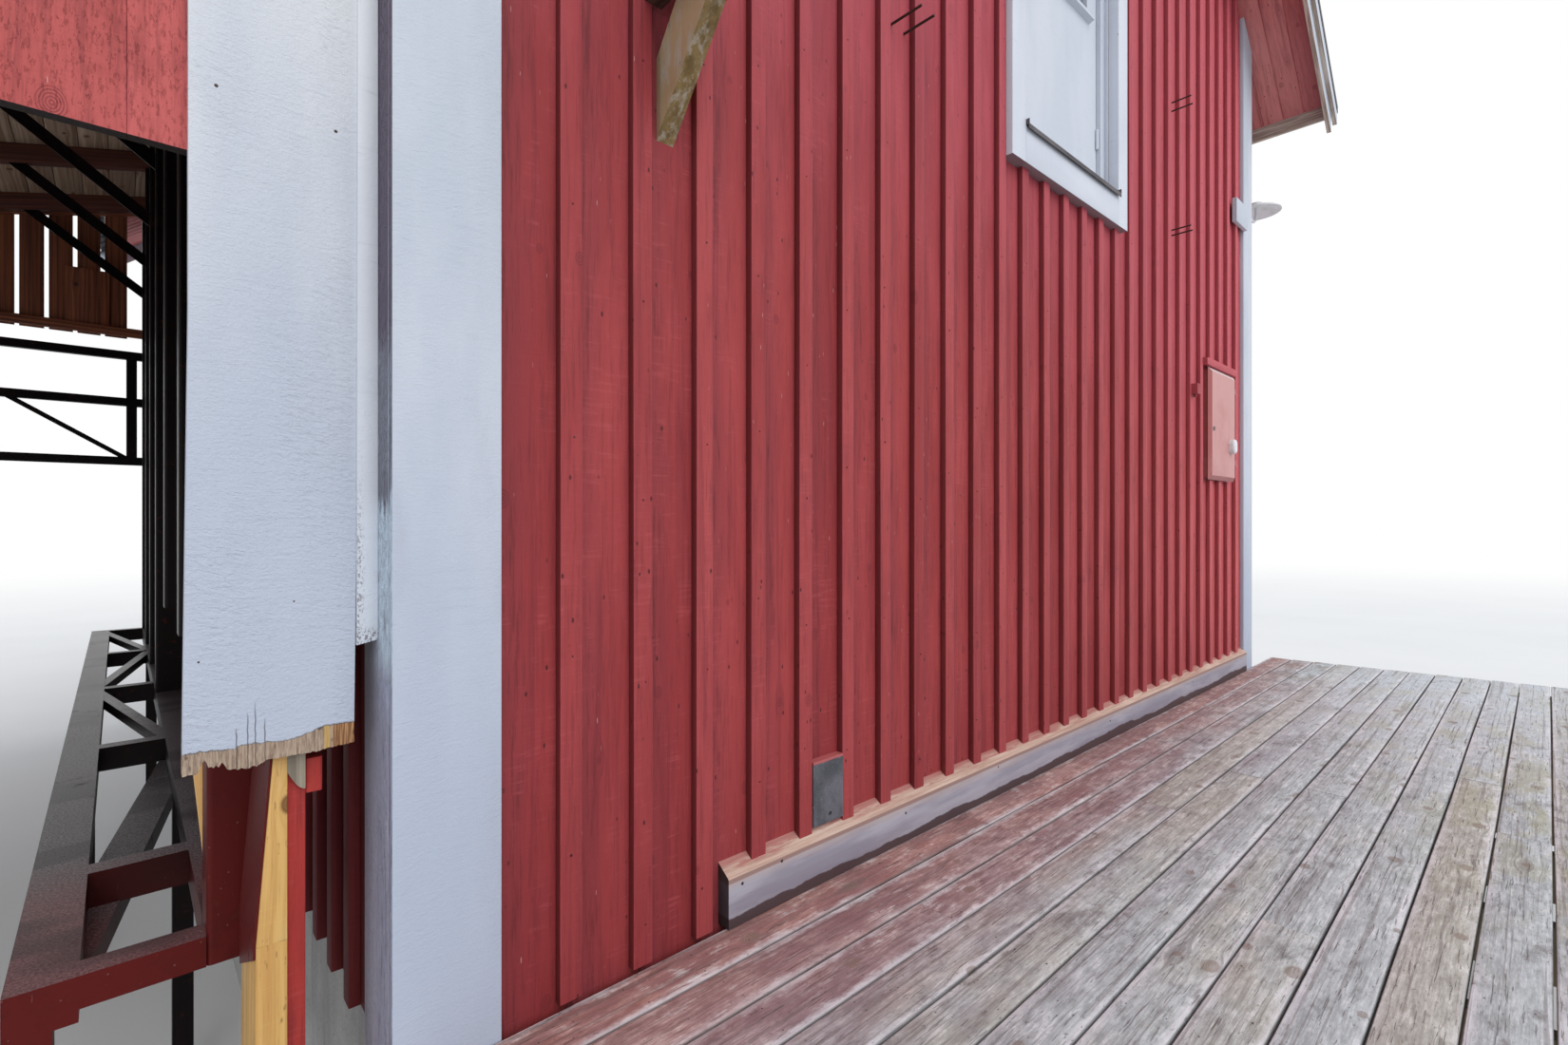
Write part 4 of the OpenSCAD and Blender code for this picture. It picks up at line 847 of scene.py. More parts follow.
sill_wood = wood("sill_wood", (168, 164, 176), (132, 126, 138), (96, 82, 84), lines=5.0, sawn=0.1,
                 share=0.35, extra=sill_marks)
sill = Pile(31)
low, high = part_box("sill_board")
_, y, z = middle(low, high)
half_h, half_t = (high.z - low.z) / 2, (high.y - low.y) / 2
fall = 0.0294  # how much lower the top's front edge lies than its back edge
lip = half_h - fall
outline = [(half_h, -half_t), (lip + 0.0035, half_t - 0.0045), (lip + 0.001, half_t - 0.0012),
           (lip - 0.003, half_t), (-half_h + 0.001, half_t), (-half_h, half_t - 0.001), (-half_h, -half_t)]
sill.board((low.x, y, z), (high.x, y, z), 0, 0, (0, -1, 0), section=outline, every=0.25, bow=0.0006)
sill.build("sill_board_sloped", sill_wood, "grey_timber", stands_for=("sill_board",))
screws = Pile(32)
for x, z in ((-1.852, 1.2), (-1.72, 1.212), (-1.2, 1.19), (-0.66, 1.204), (0.3, 1.185), (1.4, 1.19)):
    screws.nail((x, low.y, z), (0, -1, 0), radius=0.0045, proud=0.0006)
screws.build("sill_screws", iron, "grey_timber")

# %% [markdown]
# ## The loft doors
# Each loft door has a casing of four planed boards, a frame set back in the wall, and a leaf with a pane. The
# casing's side boards run full height and the others fit between them. Planed boards take a smooth paint.

# %% Casings
NOT_BLUE = (0.0, 1, 0)
CASING_WIDE, CASING_FOOT = 0.1, 0.14
door_white = white_paint("door_white", bright=(206, 210, 220), shade=(196, 201, 212), rough_sawn=0.1,
                         dirt=0.1, cool=NOT_BLUE, under=0.8)
casing = Pile(41)
for low, high in runs_of("door_casings"):
    x, y, _ = middle(low, high)
    thick, face = high[1] - low[1], gable_face(low)[0]
    for side_x in (x - 0.475, x + 0.475):
        casing.board((side_x, y, low[2]), (side_x, y, high[2]), CASING_WIDE, thick, face, radius=0.002,
                     bow=0.0003)
    for z, wide in ((low[2] + CASING_FOOT / 2, CASING_FOOT), (high[2] - CASING_WIDE / 2, CASING_WIDE)):
        casing.board((x - 0.4248, y, z), (x + 0.4248, y, z), wide, thick - 0.0006, face, radius=0.002,
                     bow=0.0002)
casing.build("door_casings_white", door_white, "door_white", stands_for=("door_casings",))

# %% Linings and leaves
LINING_WIDE, LINING_THICK = 0.018, 0.0045
lining = Pile(42)
for low, high in runs_of("door_frames"):
    y = low[1] - 0.0085 if low[1] < MID_Y else high[1] + 0.0085
    left, right, top = low[0] + 0.0025, high[0] - 0.0025, high[2] - 0.0025
    for start, end, face in (((left, y, low[2] + 0.023), (left, y, high[2]), (1, 0, 0)),
                             ((right, y, low[2] + 0.023), (right, y, high[2]), (-1, 0, 0)),
                             ((low[0] + 0.005, y, top), (high[0] - 0.005, y, top), (0, 0, -1))):
        lining.board(start, end, LINING_WIDE, LINING_THICK, face, radius=0.001, bow=0)
lining.build("door_linings", door_white, "door_white")
leaf_white = white_paint("leaf_white", "z", bright=(200, 205, 215), shade=(192, 198, 209), rough_sawn=0.05,
                         dirt=0.08, cool=NOT_BLUE)
dress(leaf_white, "door_frames", "door_leaves")


# %% Glass and flashing
def plain_metal(name, colour, dust, metallic=0.4, scale=6.0):
    """Coated sheet with dust and small stains."""
    p = Paint(name)
    v = p.place()
    cloud = p.noise(v, scale=scale, detail=5, rough=0.6)
    grit = p.noise(v, scale=320, detail=2)
    drops = p.step(p.cells(v, scale=70), 0.16, 0.1)
    mixed = p.mix(rgb(*colour), rgb(*dust), p.step(cloud, 0.42, 0.72) * 0.6)
    mixed = p.mix(mixed, rgb(*dust), drops * 0.35)
    return p.finish(mixed, rough=0.45 + cloud * 0.2, height=grit + drops * 0.3, strength=0.25, depth=0.0006,
                    Metallic=metallic)


pane = Paint("window_glass")
streaks = pane.noise(pane.stretch(pane.place(), (20, 20, 3)), detail=4)
pane_colour = pane.mix(rgb(206, 216, 224), rgb(232, 238, 242), pane.step(streaks, 0.4, 0.7))
glass = pane.finish(pane_colour, rough=0.04 + streaks * 0.08, Transmission_Weight=0.85, IOR=1.45)
dress(glass, "door_glass")
dress(plain_metal("flashing_dark", (70, 66, 70), (116, 112, 114)), "door_thresholds")

# %% [markdown]
# ## The meter cabinet and the small fittings
# The cabinet is pressed sheet with a dull pink coat that has faded most on its front, and its top is painted
# nearly white as a highlight. Its bevels take the light in their own ways because they are real faces.


# %% Cabinet coat
def cabinet_coat():
    """A pink coat on pressed sheet, with a painted highlight on top."""
    p = Paint("cabinet_coat")
    v = p.place()
    _, ny, nz = p.facing()
    cloud = p.noise(v, scale=5, detail=5, rough=0.6)
    runs = p.noise(p.stretch(v, (60, 60, 3)), detail=4)
    front = p.step(ny, -0.8, -0.97)
    coat = p.mix(rgb(160, 78, 78), rgb(196, 140, 138), front)
    coat = p.mix(coat, rgb(180, 118, 114), p.step(cloud, 0.4, 0.7) * 0.5)
    coat = p.mix(coat, rgb(148, 92, 88), p.step(runs, 0.55, 0.75) * 0.35)
    # Painted highlight: faces that look up go nearly white.
    coat = p.mix(coat, rgb(226, 218, 218), p.step(nz, 0.3, 0.6) * 0.7)
    peel = p.noise(v, scale=260, detail=2)
    return p.finish(coat, rough=0.42 + cloud * 0.15, height=peel, strength=0.15, depth=0.0006)


dress(cabinet_coat(), "meter_cabinet", "cabinet_door")
dress(plain_metal("lock_metal", (150, 148, 146), (120, 112, 104), metallic=0.85, scale=60), "cabinet_lock")
cover_white = plain_metal("cover_white", (222, 224, 228), (190, 188, 184), metallic=0.0, scale=12)
dress(cover_white, "cabinet_dome", "side_lamp")
dress(red_paint("fitting_red", "x", rough_sawn=0.3), "wall_socket")

# %% Patch plate
patch = Paint("patch_grey")
v = patch.place()
_, _, z = patch.split(v)
cloud = patch.noise(v, scale=9, detail=5, rough=0.65)
scratch = patch.step(patch.noise(patch.stretch(v, (40, 40, 260)), detail=3), 0.64, 0.68)
grey = patch.mix(rgb(66, 68, 76), rgb(102, 102, 110), patch.step(cloud, 0.35, 0.7))
down = patch.step(patch.noise(patch.stretch(v, (90, 90, 7)), detail=4, rough=0.7), 0.56, 0.7)
grey = patch.mix(grey, rgb(150, 148, 154), down * 0.5)
grey = patch.mix(grey, rgb(168, 168, 172), scratch * 0.5)
specks = patch.step(patch.cells(v, scale=150), 0.14, 0.1)
grey = patch.mix(grey, rgb(190, 186, 188), specks * 0.45)
rim = patch.step(z + (cloud - 0.5) * 0.012, 1.42, 1.425)
grey = patch.mix(grey, rgb(176, 92, 92), rim)
dress(patch.finish(grey, rough=0.55, height=cloud + specks * 0.2, strength=0.3, depth=0.001), "patch_plate")

# %% Header and mounting board
for node, name, seed, material, slot in (
        ("cabinet_header", "cabinet_header_board", 51, red_batten, "red_boards"),
        ("mounting_board", "mounting_board_white", 52, corner_white, "white_trim")):
    level = Pile(seed)
    low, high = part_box(node)
    _, y, z = middle(low, high)
    level.board((low.x, y, z), (high.x, y, z), high.z - low.z, high.y - low.y, (0, -1, 0), every=0.1)
    level.build(name, material, slot, stands_for=(node,))

# %% [markdown]
# ## The bracket over the gable
# A brace of treated timber holds two dark planks. Its outer face has gone olive brown, and its sides are
# still pale.


# %% Bracket timber
def brace_marks(p, v, colour, grain):
    """Olive brown on the outer face, with pale smears and dark blots."""
    nx = p.facing()[0]
    outer = p.step(nx * nx, 0.6, 0.3)
    blot = p.noise(p.stretch(v, (14, 22, 22)), detail=5, rough=0.65)
    olive = p.mix(rgb(104, 84, 48), rgb(138, 114, 72), p.step(blot, 0.35, 0.65))
    colour = p.mix(colour, rgb(150, 148, 142), p.step(blot, 0.56, 0.7) * 0.6)
    colour = p.mix(colour, olive, outer)
    smear = p.streaks(v, 6, 40, 0.46, 0.6, detail=5) * p.step(blot, 0.4, 0.56)
    colour = p.mix(colour, rgb(176, 170, 160), smear * 0.6)
    return p.mix(colour, rgb(52, 38, 26), p.step(blot, 0.6, 0.74) * 0.6)


brace_wood = wood("brace_wood", (186, 160, 126), (146, 118, 84), (84, 60, 38), axis="z", sawn=0.4,
                  extra=brace_marks)
dress(brace_wood, "wall_bracket")
plank_wood = wood("plank_brown", (96, 60, 50), (58, 34, 30), (34, 20, 18), sawn=0.5, rough=0.75)
planks = Pile(61)
for low, high in runs_of("bracket_planks"):
    x, _, z = middle(low, high)
    planks.board((x, high[1], z), (x, low[1], z), high[2] - low[2], high[0] - low[0], (1, 0, 0), radius=0.002)
planks.build("bracket_planks_brown", plank_wood, "bay_timber", stands_for=("bracket_planks",))

# %% [markdown]
# ## The boat bay's steel
# The bay's columns, girder and ladder are flat and angled bars with a red-brown coat. Further into the bay and
# under its roof the coat is painted nearly black, as the bay's shade. Rust breaks through in blots, and the
# coat is thick and a little lumpy. The ladder's upper faces are dusty and speckled, and their grey is partly a
# painted sheen of the sky.


# %% Steel coat
def steel_coat(name, dust_and_sheen_top=0.0):
    """A thick coat, maroon at the near end of the bay and painted nearly black as shade further in and under
    the roof, with rust in blots.
    """
    p = Paint(name)
    v = p.place()
    _, y, z = p.split(v)
    cloud = p.noise(v, scale=2.2, detail=5, rough=0.65)
    blots = p.noise(v, scale=26, detail=5, rough=0.7)
    lumps = p.noise(v, scale=90, detail=3)
    # Painted shade: the coat darkens to near black further into the bay.
    near = p.step(y + z * 0.35 + (cloud - 0.5) * 0.5, 1.5, 0.7)
    colour = p.mix(rgb(20, 13, 14), rgb(88, 24, 22), near)
    # Painted shade under the bay's roof.
    colour = p.mix(colour, rgb(12, 9, 10), p.step(z, 2.2, 2.6) * 0.8)
    colour = p.mix(colour, rgb(40, 14, 15), p.step(cloud * 0.5 + blots * 0.5, 0.5, 0.72) * 0.5)
    rust = p.step(blots, 0.6, 0.72)
    colour = p.mix(colour, rgb(120, 62, 42), rust * 0.25)
    scratch = p.step(p.noise(p.stretch(v, (30, 30, 4)), scale=4, detail=4, rough=0.7), 0.66, 0.7)
    colour = p.mix(colour, rgb(138, 92, 88), scratch * 0.3 * near)
    drop = p.step(p.cells(v, scale=46), 0.09, 0.05) * near
    colour = p.mix(colour, rgb(158, 126, 122), drop * 0.3)
    rough = 0.36 + rust * 0.3 + cloud * 0.1
    if dust_and_sheen_top:
        top = p.step(p.facing()[2], 0.7, 0.9)
        spots = p.step(p.noise(v, scale=190, detail=5, rough=0.8), 0.4, 0.62)
        # The grey of the top faces is partly dust and partly a painted sheen of the sky on the coat.
        slate = p.mix(rgb(66, 60, 62), rgb(148, 144, 148), spots)
        ruddy = p.mix(rgb(92, 54, 56), rgb(150, 112, 114), spots)
        slate = p.mix(slate, ruddy, p.step(y + (cloud - 0.5) * 0.6, 1.0, 0.35))
        wet = p.step(p.noise(p.stretch(v, (1, 3, 1)), detail=3), 0.52, 0.58)
        slate = p.mix(slate, rgb(58, 50, 54), wet * 0.6)
        colour = p.mix(colour, slate, top * dust_and_sheen_top)
        rough = rough - top * 0.1
    return p.finish(colour, rough=rough, height=lumps * 0.5 + blots * 0.5, strength=0.35, depth=0.0016,
                    Specular_IOR_Level=0.12)


steel = steel_coat("steel_coat")
dress(steel, "bay_outer_columns", "bay_knee_braces", "bay_girder", "bay_columns")
dress(steel_coat("ladder_coat", dust_and_sheen_top=0.9), "bay_ladder_frame")

# %% [markdown]
# ## The bay's boards
# Over the bay lie dark rafters and pale roof boards. Its front is closed with rough red boards, its far end
# with brown slats. They are built as boards again, from the corners of the solids that they stand for.

# %% Rafters of the bay
brown = wood("stain_brown", (150, 88, 56), (94, 50, 36), (48, 26, 20), sawn=0.5, tone_by=0.3)
dusky = wood("rafter_brown", (112, 64, 50), (72, 40, 34), (44, 24, 20), sawn=0.5, tone_by=0.3)
roof_wood = wood("roof_board_wood", (196, 172, 150), (146, 120, 98), (92, 64, 48), sawn=0.4, tone_by=0.55)
BAY_RISE = math.tan(math.radians(14.5))
RAFTER_DEEP = 0.11
low_roof, high_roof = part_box("bay_roof_boards")
BAY_RUN = Vector((1, 0, BAY_RISE)).normalized()
BAY_UP = Vector((-BAY_RISE, 0, 1)).normalized()


def bay_under(x):
    """Height of the underside of the bay's roof boards."""
    return low_roof.z + (x - low_roof.x) * BAY_RISE


rafters = Pile(71)
for low, high in runs_of("bay_rafters"):
    y = middle(low, high)[1]
    a, b = [(x, y, bay_under(x) - RAFTER_DEEP / 2) for x in (low[0], high[0])]
    rafters.board(a, b, high[1] - low[1], RAFTER_DEEP * BAY_UP.z, BAY_UP, radius=0.002,
                  lean=(BAY_RISE, BAY_RISE))
rafters.build("bay_rafters_brown", dusky, "bay_timber", stands_for=("bay_rafters",))

# %% Roof boards of the bay
ROOFING_COUNT, ROOFING_THICK, ROOFING_GAP = 24, 0.0242, 0.003
roofing = Pile(72)
pitch = (high_roof.x - low_roof.x) / BAY_RUN.x / ROOFING_COUNT
for i in range(ROOFING_COUNT):
    x = low_roof.x + (i + 0.5) * pitch * BAY_RUN.x
    mid = Vector((x, 0, bay_under(x))) + BAY_UP * ROOFING_THICK / 2
    roofing.board((mid.x, low_roof.y, mid.z), (mid.x, high_roof.y, mid.z), pitch - ROOFING_GAP, ROOFING_THICK,
                  -BAY_UP, radius=0.003, bow=0.0004, every=0.8)
roofing.build("bay_roofing", roof_wood, "bay_boards", stands_for=("bay_roof_boards",))

# %% Front boards of the bay
LAP = 0.0036  # front boards are made this much wider, so that no light shows between them
rough_red = red_paint("rough_red", bright=(198, 98, 96), deep=(178, 82, 80), rough_sawn=1.2, faded=0.5,
                      ends=1.0, flecks=0.7)
front_boards = Pile(73)
for low, high in runs_of("bay_front_boards"):
    x, y, _ = middle(low, high)
    front_boards.board((x, y, low[2]), (x, y, bay_under(x)), high[0] - low[0] + LAP, 0.025, (0, -1, 0),
                       radius=0.001, slant=(0, -BAY_RISE), bow=0.0001, every=0.3)
front_boards.build("bay_front_red", rough_red, "bay_red", stands_for=("bay_front_boards",))

# %% Slats, rails and plank of the far end
SLAT_WIDE, SLAT_THICK, SLAT_PITCH, SLAT_COUNT = 0.118, 0.022, 0.141, 19
RAIL_THICK = 0.04
slats = Pile(74)
low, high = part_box("bay_slats")
COLUMN_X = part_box("bay_outer_columns")[0].x
y = high.y - SLAT_THICK / 2
for i in range(SLAT_COUNT):
    x = high.x - 0.18 - SLAT_WIDE / 2 - i * SLAT_PITCH
    if x - SLAT_WIDE / 2 > COLUMN_X - 0.03:
        slats.board((x, y, low.z), (x, y, bay_under(x) - 0.002), SLAT_WIDE, SLAT_THICK, (0, -1, 0),
                    slant=(0, -BAY_RISE))
y = low.y + RAIL_THICK / 2
slats.board((COLUMN_X, y, low.z + 0.038), (high.x, y, low.z + 0.038), 0.06, RAIL_THICK, (0, -1, 0))
a, b = [(x, y, bay_under(x) - 0.079) for x in (COLUMN_X, high.x)]
slats.board(a, b, 0.068, RAIL_THICK, (0, -1, 0))
slats.board((-3.135, y + 0.01, 3.488), (-3.135, y + 0.01, 3.876), 0.226, 0.02, (0, -1, 0), radius=0.002)
slats.build("bay_slats_brown", brown, "bay_timber", stands_for=("bay_slats",))

# %% [markdown]
# ## The broken foot of the post board
# The widest white board ends in raw, splintered wood: it was never painted down there, and pieces have torn
# off. A swept board can't show that, so this one is a fine grid of points whose lower edge follows a ragged
# line. Its lower part leans out a little, and it narrows slightly towards its right edge.

# %% A board with a ragged end
POST_LEAN, POST_TRIM = -0.0075, 0.0025  # how far the foot leans to the left, and the right edge is trimmed
LEAN_FROM, LEAN_OVER = 2.42, 0.72  # the height where the lean starts, and the drop over which it grows


def ragged_board(low, high, foot):
    """An upright board in the x-z plane, with a foot that follows the line foot(x)."""
    pile, cells, rows = Pile(82), 110, 60
    noise = [pile.random.uniform(-1, 1) for _ in range(cells + 1)]
    xs = [low[0] + (high[0] - low[0]) * i / cells for i in range(cells + 1)]
    line = [foot(x) + 0.0011 * (noise[i] + 0.5 * noise[i - 1]) for i, x in enumerate(xs)]
    for side, y in ((0, low[1]), (1, high[1])):
        for j in range(rows + 1):
            rise = (j / rows) ** 2.2
            for i, x in enumerate(xs):
                lift = 0.006 * side * (0.5 + 0.5 * noise[(i * 7) % cells])
                z = line[i] + lift * (1 - rise) + (bay_under(x) - line[i]) * rise
                leaning = POST_LEAN * max(0.0, min(1.0, (LEAN_FROM - z) / LEAN_OVER))
                pile.point((x + leaning - POST_TRIM * i / cells, y, z), (z, x, y), 0.5, 2 * i / cells - 1)
    stride = cells + 1
    layer = stride * (rows + 1)
    for j in range(rows):
        for i in range(cells):
            a = j * stride + i
            pile.faces.append((a, a + 1, a + 1 + stride, a + stride))
            b = a + layer
            pile.faces.append((b, b + stride, b + 1 + stride, b + 1))
    for i in range(cells):
        pile.faces.append((i, i + layer, i + 1 + layer, i + 1))
        t = rows * stride + i
        pile.faces.append((t, t + 1, t + 1 + layer, t + layer))
    for j in range(rows):
        a, b = j * stride, j * stride + cells
        pile.faces.append((a, a + stride, a + stride + layer, a + layer))
        pile.faces.append((b, b + layer, b + stride + layer, b + stride))
    return pile


# %% The post board and its nails
FOOT = ((-2.891, 1.690), (-2.872, 1.689), (-2.868, 1.703), (-2.864, 1.7105), (-2.861, 1.706), (-2.858, 1.697),
        (-2.855, 1.699), (-2.8515, 1.694), (-2.849, 1.700), (-2.845, 1.695), (-2.8415, 1.7025),
        (-2.838, 1.697), (-2.8345, 1.688), (-2.815, 1.685), (-2.793, 1.6855), (-2.786, 1.689),
        (-2.781, 1.692), (-2.706, 1.691), (-2.695, 1.693), (-2.653, 1.695))


def post_foot(x):
    """Height of the broken foot: a torn notch near its left corner, and a small step in its middle."""
    return float(np.interp(x, [a for a, _ in FOOT], [b for _, b in FOOT]))


(post_low, post_high), (strip_low, _) = runs_of("bay_post_boards")
# Painted light: this white is brighter than on the other boards, to make up for the shade of the roof over the
# board's top; below 3.05 m it turns bluer.
post_white = white_paint("post_white", bright=(214, 216, 221), shade=(202, 206, 214), raw_foot=1.7215,
                         rough_sawn=1.4, dirt=0.05, cool=(0.75, 3.05, 2.1), depth=0.004)
post = ragged_board(post_low, post_high, post_foot)
post.build("bay_post_board_broken", post_white, "white_trim", stands_for=("bay_post_boards",))
post_nails = Pile(84)
for x, z, size in ((-2.8565, 2.79, 3.2), (-2.6911, 2.778, 3.2), (-2.851, 3.51, 3), (-2.697, 3.52, 3),
                   (-2.8785, 1.867, 1.8), (-2.7525, 1.954, 1.6)):
    post_nails.nail((x, post_low[1], z), (0, -1, 0), radius=size / 1000, proud=0.0006)
post_nails.build("bay_post_nails", iron, "white_trim")

# %% The cover strip beside it
# Painted light: the strip's white is brighter still, to make up for the shade of the corner board beside it.
strip_white = white_paint("strip_white", peeling=0.9, bright=(224, 227, 233), shade=(214, 218, 225),
                          cool=(0.3, 3.05, 2.1))
strip = Pile(83)
strip_y = post_low[1] + 0.0045
strip.board((-2.6425, strip_y, strip_low[2]), (-2.6403, strip_y, bay_under(-2.64)), 0.0346, 0.022, (0, -1, 0),
            slant=(-0.2, -BAY_RISE), bow=0.0, every=0.2, radius=0.002, taper=0.875)
strip.build("bay_cover_strip", strip_white, "white_trim")

# %% [markdown]
# ## The post behind it
# Under the broken foot stands the post: a raw pine stud, a wedge of pine before it, a red plank beside it, a
# short red spacer and a grey quarter. The pine is new and yellow, with clear grain; the wedge's pine is
# painted lighter, as light that makes up for the shade it stands in. The flange of the nearest column lies
# against the stud's left side. These pieces are placed by their edges, in metres.

# %% Stud and the column's flange
STUD_RIGHT = -2.758


def pine_marks(p, v, colour, grain):
    """Pale scraped patches and small dark flecks on new pine."""
    scraped = p.streaks(v, 3, 26, 0.5, 0.72, detail=5)
    colour = p.mix(colour, rgb(214, 186, 134), scraped * 0.6)
    return p.mix(colour, rgb(120, 84, 48), p.streaks(v, 26, 120, 0.62, 0.7) * 0.6)


pine = wood("pine_raw", (220, 178, 110), (192, 144, 82), (122, 78, 44), lines=6.0, contrast=0.9, sawn=0.3,
            tone_by=0.05, extra=pine_marks)
pieces = runs_of("bay_front_post")
wedge_low, wedge_high = pieces[0]
post_y = pieces[1][0][1]
stud = Pile(91)
y = post_y + 0.095
for z0, z1, left0, left1 in ((0.0, 1.37, -2.810, -2.802), (1.37, 1.69, -2.802, -2.778),
                             (1.69, 4.33, -2.778, -2.778)):
    wide0, wide1 = STUD_RIGHT - left0, STUD_RIGHT - left1
    stud.board(((left0 + STUD_RIGHT) / 2, y, z0), ((left1 + STUD_RIGHT) / 2, y, z1), wide0, 0.19, (0, -1, 0),
               radius=0.0015, every=0.2, bow=0, taper=wide1 / wide0)
stud.build("bay_stud_pine", pine, "raw_timber", stands_for=("bay_front_post",))
flange = Pile(95)
for x_out in (0.0035, 0.0005):
    for near_z, far_z, x in ((1.35, 1.262, -2.8023), (1.37, 1.37, -2.802), (1.69, 1.69, -2.7785),
                             (1.74, 1.74, -2.7785)):
        flange.point((x - x_out, post_y + 0.003, near_z), (near_z, x, 0), 0.5)
        flange.point((x - x_out, post_y + 0.188, far_z), (far_z, x, 0.18), 0.5)
for a, b in ((0, 8), (2, 10), (4, 12)):
    flange.faces += [(a, a + 2, a + 3, a + 1), (b, b + 1, b + 3, b + 2)]
    flange.faces += [(a, b, b + 2, a + 2), (a + 1, a + 3, b + 3, b + 1)]
flange.faces += [(0, 1, 9, 8), (6, 14, 15, 7)]
flange.build("bay_column_flange", steel, "bay_steel")

# %% Wedge, plank, spacer and quarter
wedge = Pile(93)
wedge_outline = ((-2.800, 1.30), (-2.800, 2.20), (-2.872, 2.20), (-2.872, 1.70), (-2.845, 1.40))
wedge.cutout(wedge_outline, wedge_low[1], wedge_high[1])
# Painted light: a lighter copy of the pine, to make up for the shade that the wedge stands in.
lit_pine = wood("pine_lit", (252, 214, 150), (236, 184, 116), (150, 100, 60), lines=6.0, sawn=0.3, tone_by=0.0)
wedge.build("bay_wedge_pine", lit_pine, "raw_timber")
post_red = red_paint("post_red", bright=(182, 64, 56), deep=(160, 48, 46), faded=0.3)
red_pieces = Pile(92)
for x, y, foot, top, wide, thick, radius in ((-2.744, post_y + 0.05, 0.0, 1.925, 0.028, 0.076, 0.002),
                                             (-2.717, post_y + 0.039, 1.61, 1.67, 0.026, 0.05, 0.004)):
    red_pieces.board((x, y, foot), (x, y, top), wide, thick, (0, -1, 0), radius=radius)
red_pieces.build("bay_post_red", post_red, "raw_timber")
quarter = Pile(94)
curve = [(-2.759 + 0.027 * k / 10, 1.623 + 0.035 * (1 - math.sin(math.pi * k / 20))) for k in range(11)]
curve += [(-2.732, 1.80), (-2.759, 1.80)]
quarter.cutout(curve, post_y, post_y + 0.012)
grey_wood = wood("wood_grey", (158, 148, 132), (122, 112, 98), (84, 72, 60), sawn=0.4, tone_by=0.1)
quarter.build("bay_quarter_grey", grey_wood, "raw_timber")

# %% [markdown]
# ## The roof's underside and its edges
# Under the verge the roof boards show from below, red-brown, with open joints that run up the slope. Each
# board is built, so the joints catch real shadow. The white boards on the edges lie along the slope, so their
# paint's grain is turned to the slope too, and their lower edges are bare brown wood.

# %% Roof boards
DECKING_THICK, DECKING_MID = 0.058, 0.0368  # how thick a board is, and its middle's height over the soffit
soffit_red = red_paint("soffit_red", bright=(204, 128, 126), deep=(180, 104, 104), rough_sawn=0.4, faded=0.0)
decking = Pile(101)
low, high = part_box("roof_deck_right")
count = round((high.y - low.y) / 0.12)
pitch_y = (high.y - low.y) / count
for side in (-1, 1):
    upward = (side * math.sin(PITCH), 0, math.cos(PITCH))
    for i in range(count):
        y = low.y + (i + 0.5) * pitch_y
        decking.board((side * EAVE_X, y, SOFFIT_Z + DECKING_MID), (0, y, soffit_at(0) + DECKING_MID),
                      pitch_y - 0.001, DECKING_THICK, upward, radius=0.003, steps=1, every=1.4, bow=0.0002,
                      lean=(RISE, RISE))
decking.build("roof_decking", soffit_red, "roof_soffit", stands_for=("roof_deck_left", "roof_deck_right"))

# %% Verge, eave and metal
for name, axis, node in (("verge_white", "slope", "barge_boards"), ("eave_white", "y", "fascia_boards")):
    dress(white_paint(name, axis, rough_sawn=0.8, bare_edges=True, cool=NOT_BLUE), node)
roof_metal = plain_metal("roof_metal_dark", (62, 62, 66), (96, 94, 94), scale=1.5)
dress(roof_metal, "roof_sheets", "roof_cappings", "bay_roof_sheet")

# %% [markdown]
# ## Concrete and the loft floor
# The plinth is cast concrete: the lines of its form boards run level, air bubbles left small pits, and water
# has stained it from above. The loft floor is plain pine, and is seen only through the doors' panes.

# %% Concrete
concrete = Paint("concrete_cast")
v = concrete.place()
_, _, z = concrete.split(v)
cloud = concrete.noise(v, scale=1.6, detail=6, rough=0.65)
grit = concrete.noise(v, scale=120, detail=4, rough=0.7)
pit = concrete.step(concrete.cells(v, scale=36), 0.13, 0.08)
runs = concrete.noise(concrete.stretch(v, (7, 7, 0.7)), detail=4)
FORM_BOARD = 0.135
level = concrete.one("FRACT", z / FORM_BOARD)
seam = concrete.step(level, 0.03, 0.0) + concrete.step(level, 0.97, 1.0)
mottled = concrete.step(cloud * 0.7 + grit * 0.3, 0.35, 0.65)
grey = concrete.mix(rgb(138, 137, 138), rgb(182, 180, 176), mottled)
grey = concrete.mix(grey, rgb(100, 98, 96), concrete.step(runs, 0.52, 0.72) * 0.5)
grey = concrete.mix(grey, rgb(92, 90, 90), pit * 0.7)
height = grit * 0.4 + cloud * 0.3 - pit * 0.8 + seam * 0.5
dress(concrete.finish(grey, rough=0.85, height=height, strength=0.6, depth=0.003), "plinth")
dress(wood("floor_pine", (206, 170, 122), (170, 130, 86), (112, 76, 48), axis="x"), "loft_floor")

# %% [markdown]
# ## Stage, light and camera
# The house stands on a pale floor that fades to the white of the backdrop far away. A broad lamp, like the
# sun behind thin cloud, stands high in front of the gable, and a pale sky fills the shade. The camera, shiny
# surfaces and glass see the sky as plain white, which adds no light to matt ones. The camera stands very close
# to the wall and looks along it with a wide lens.

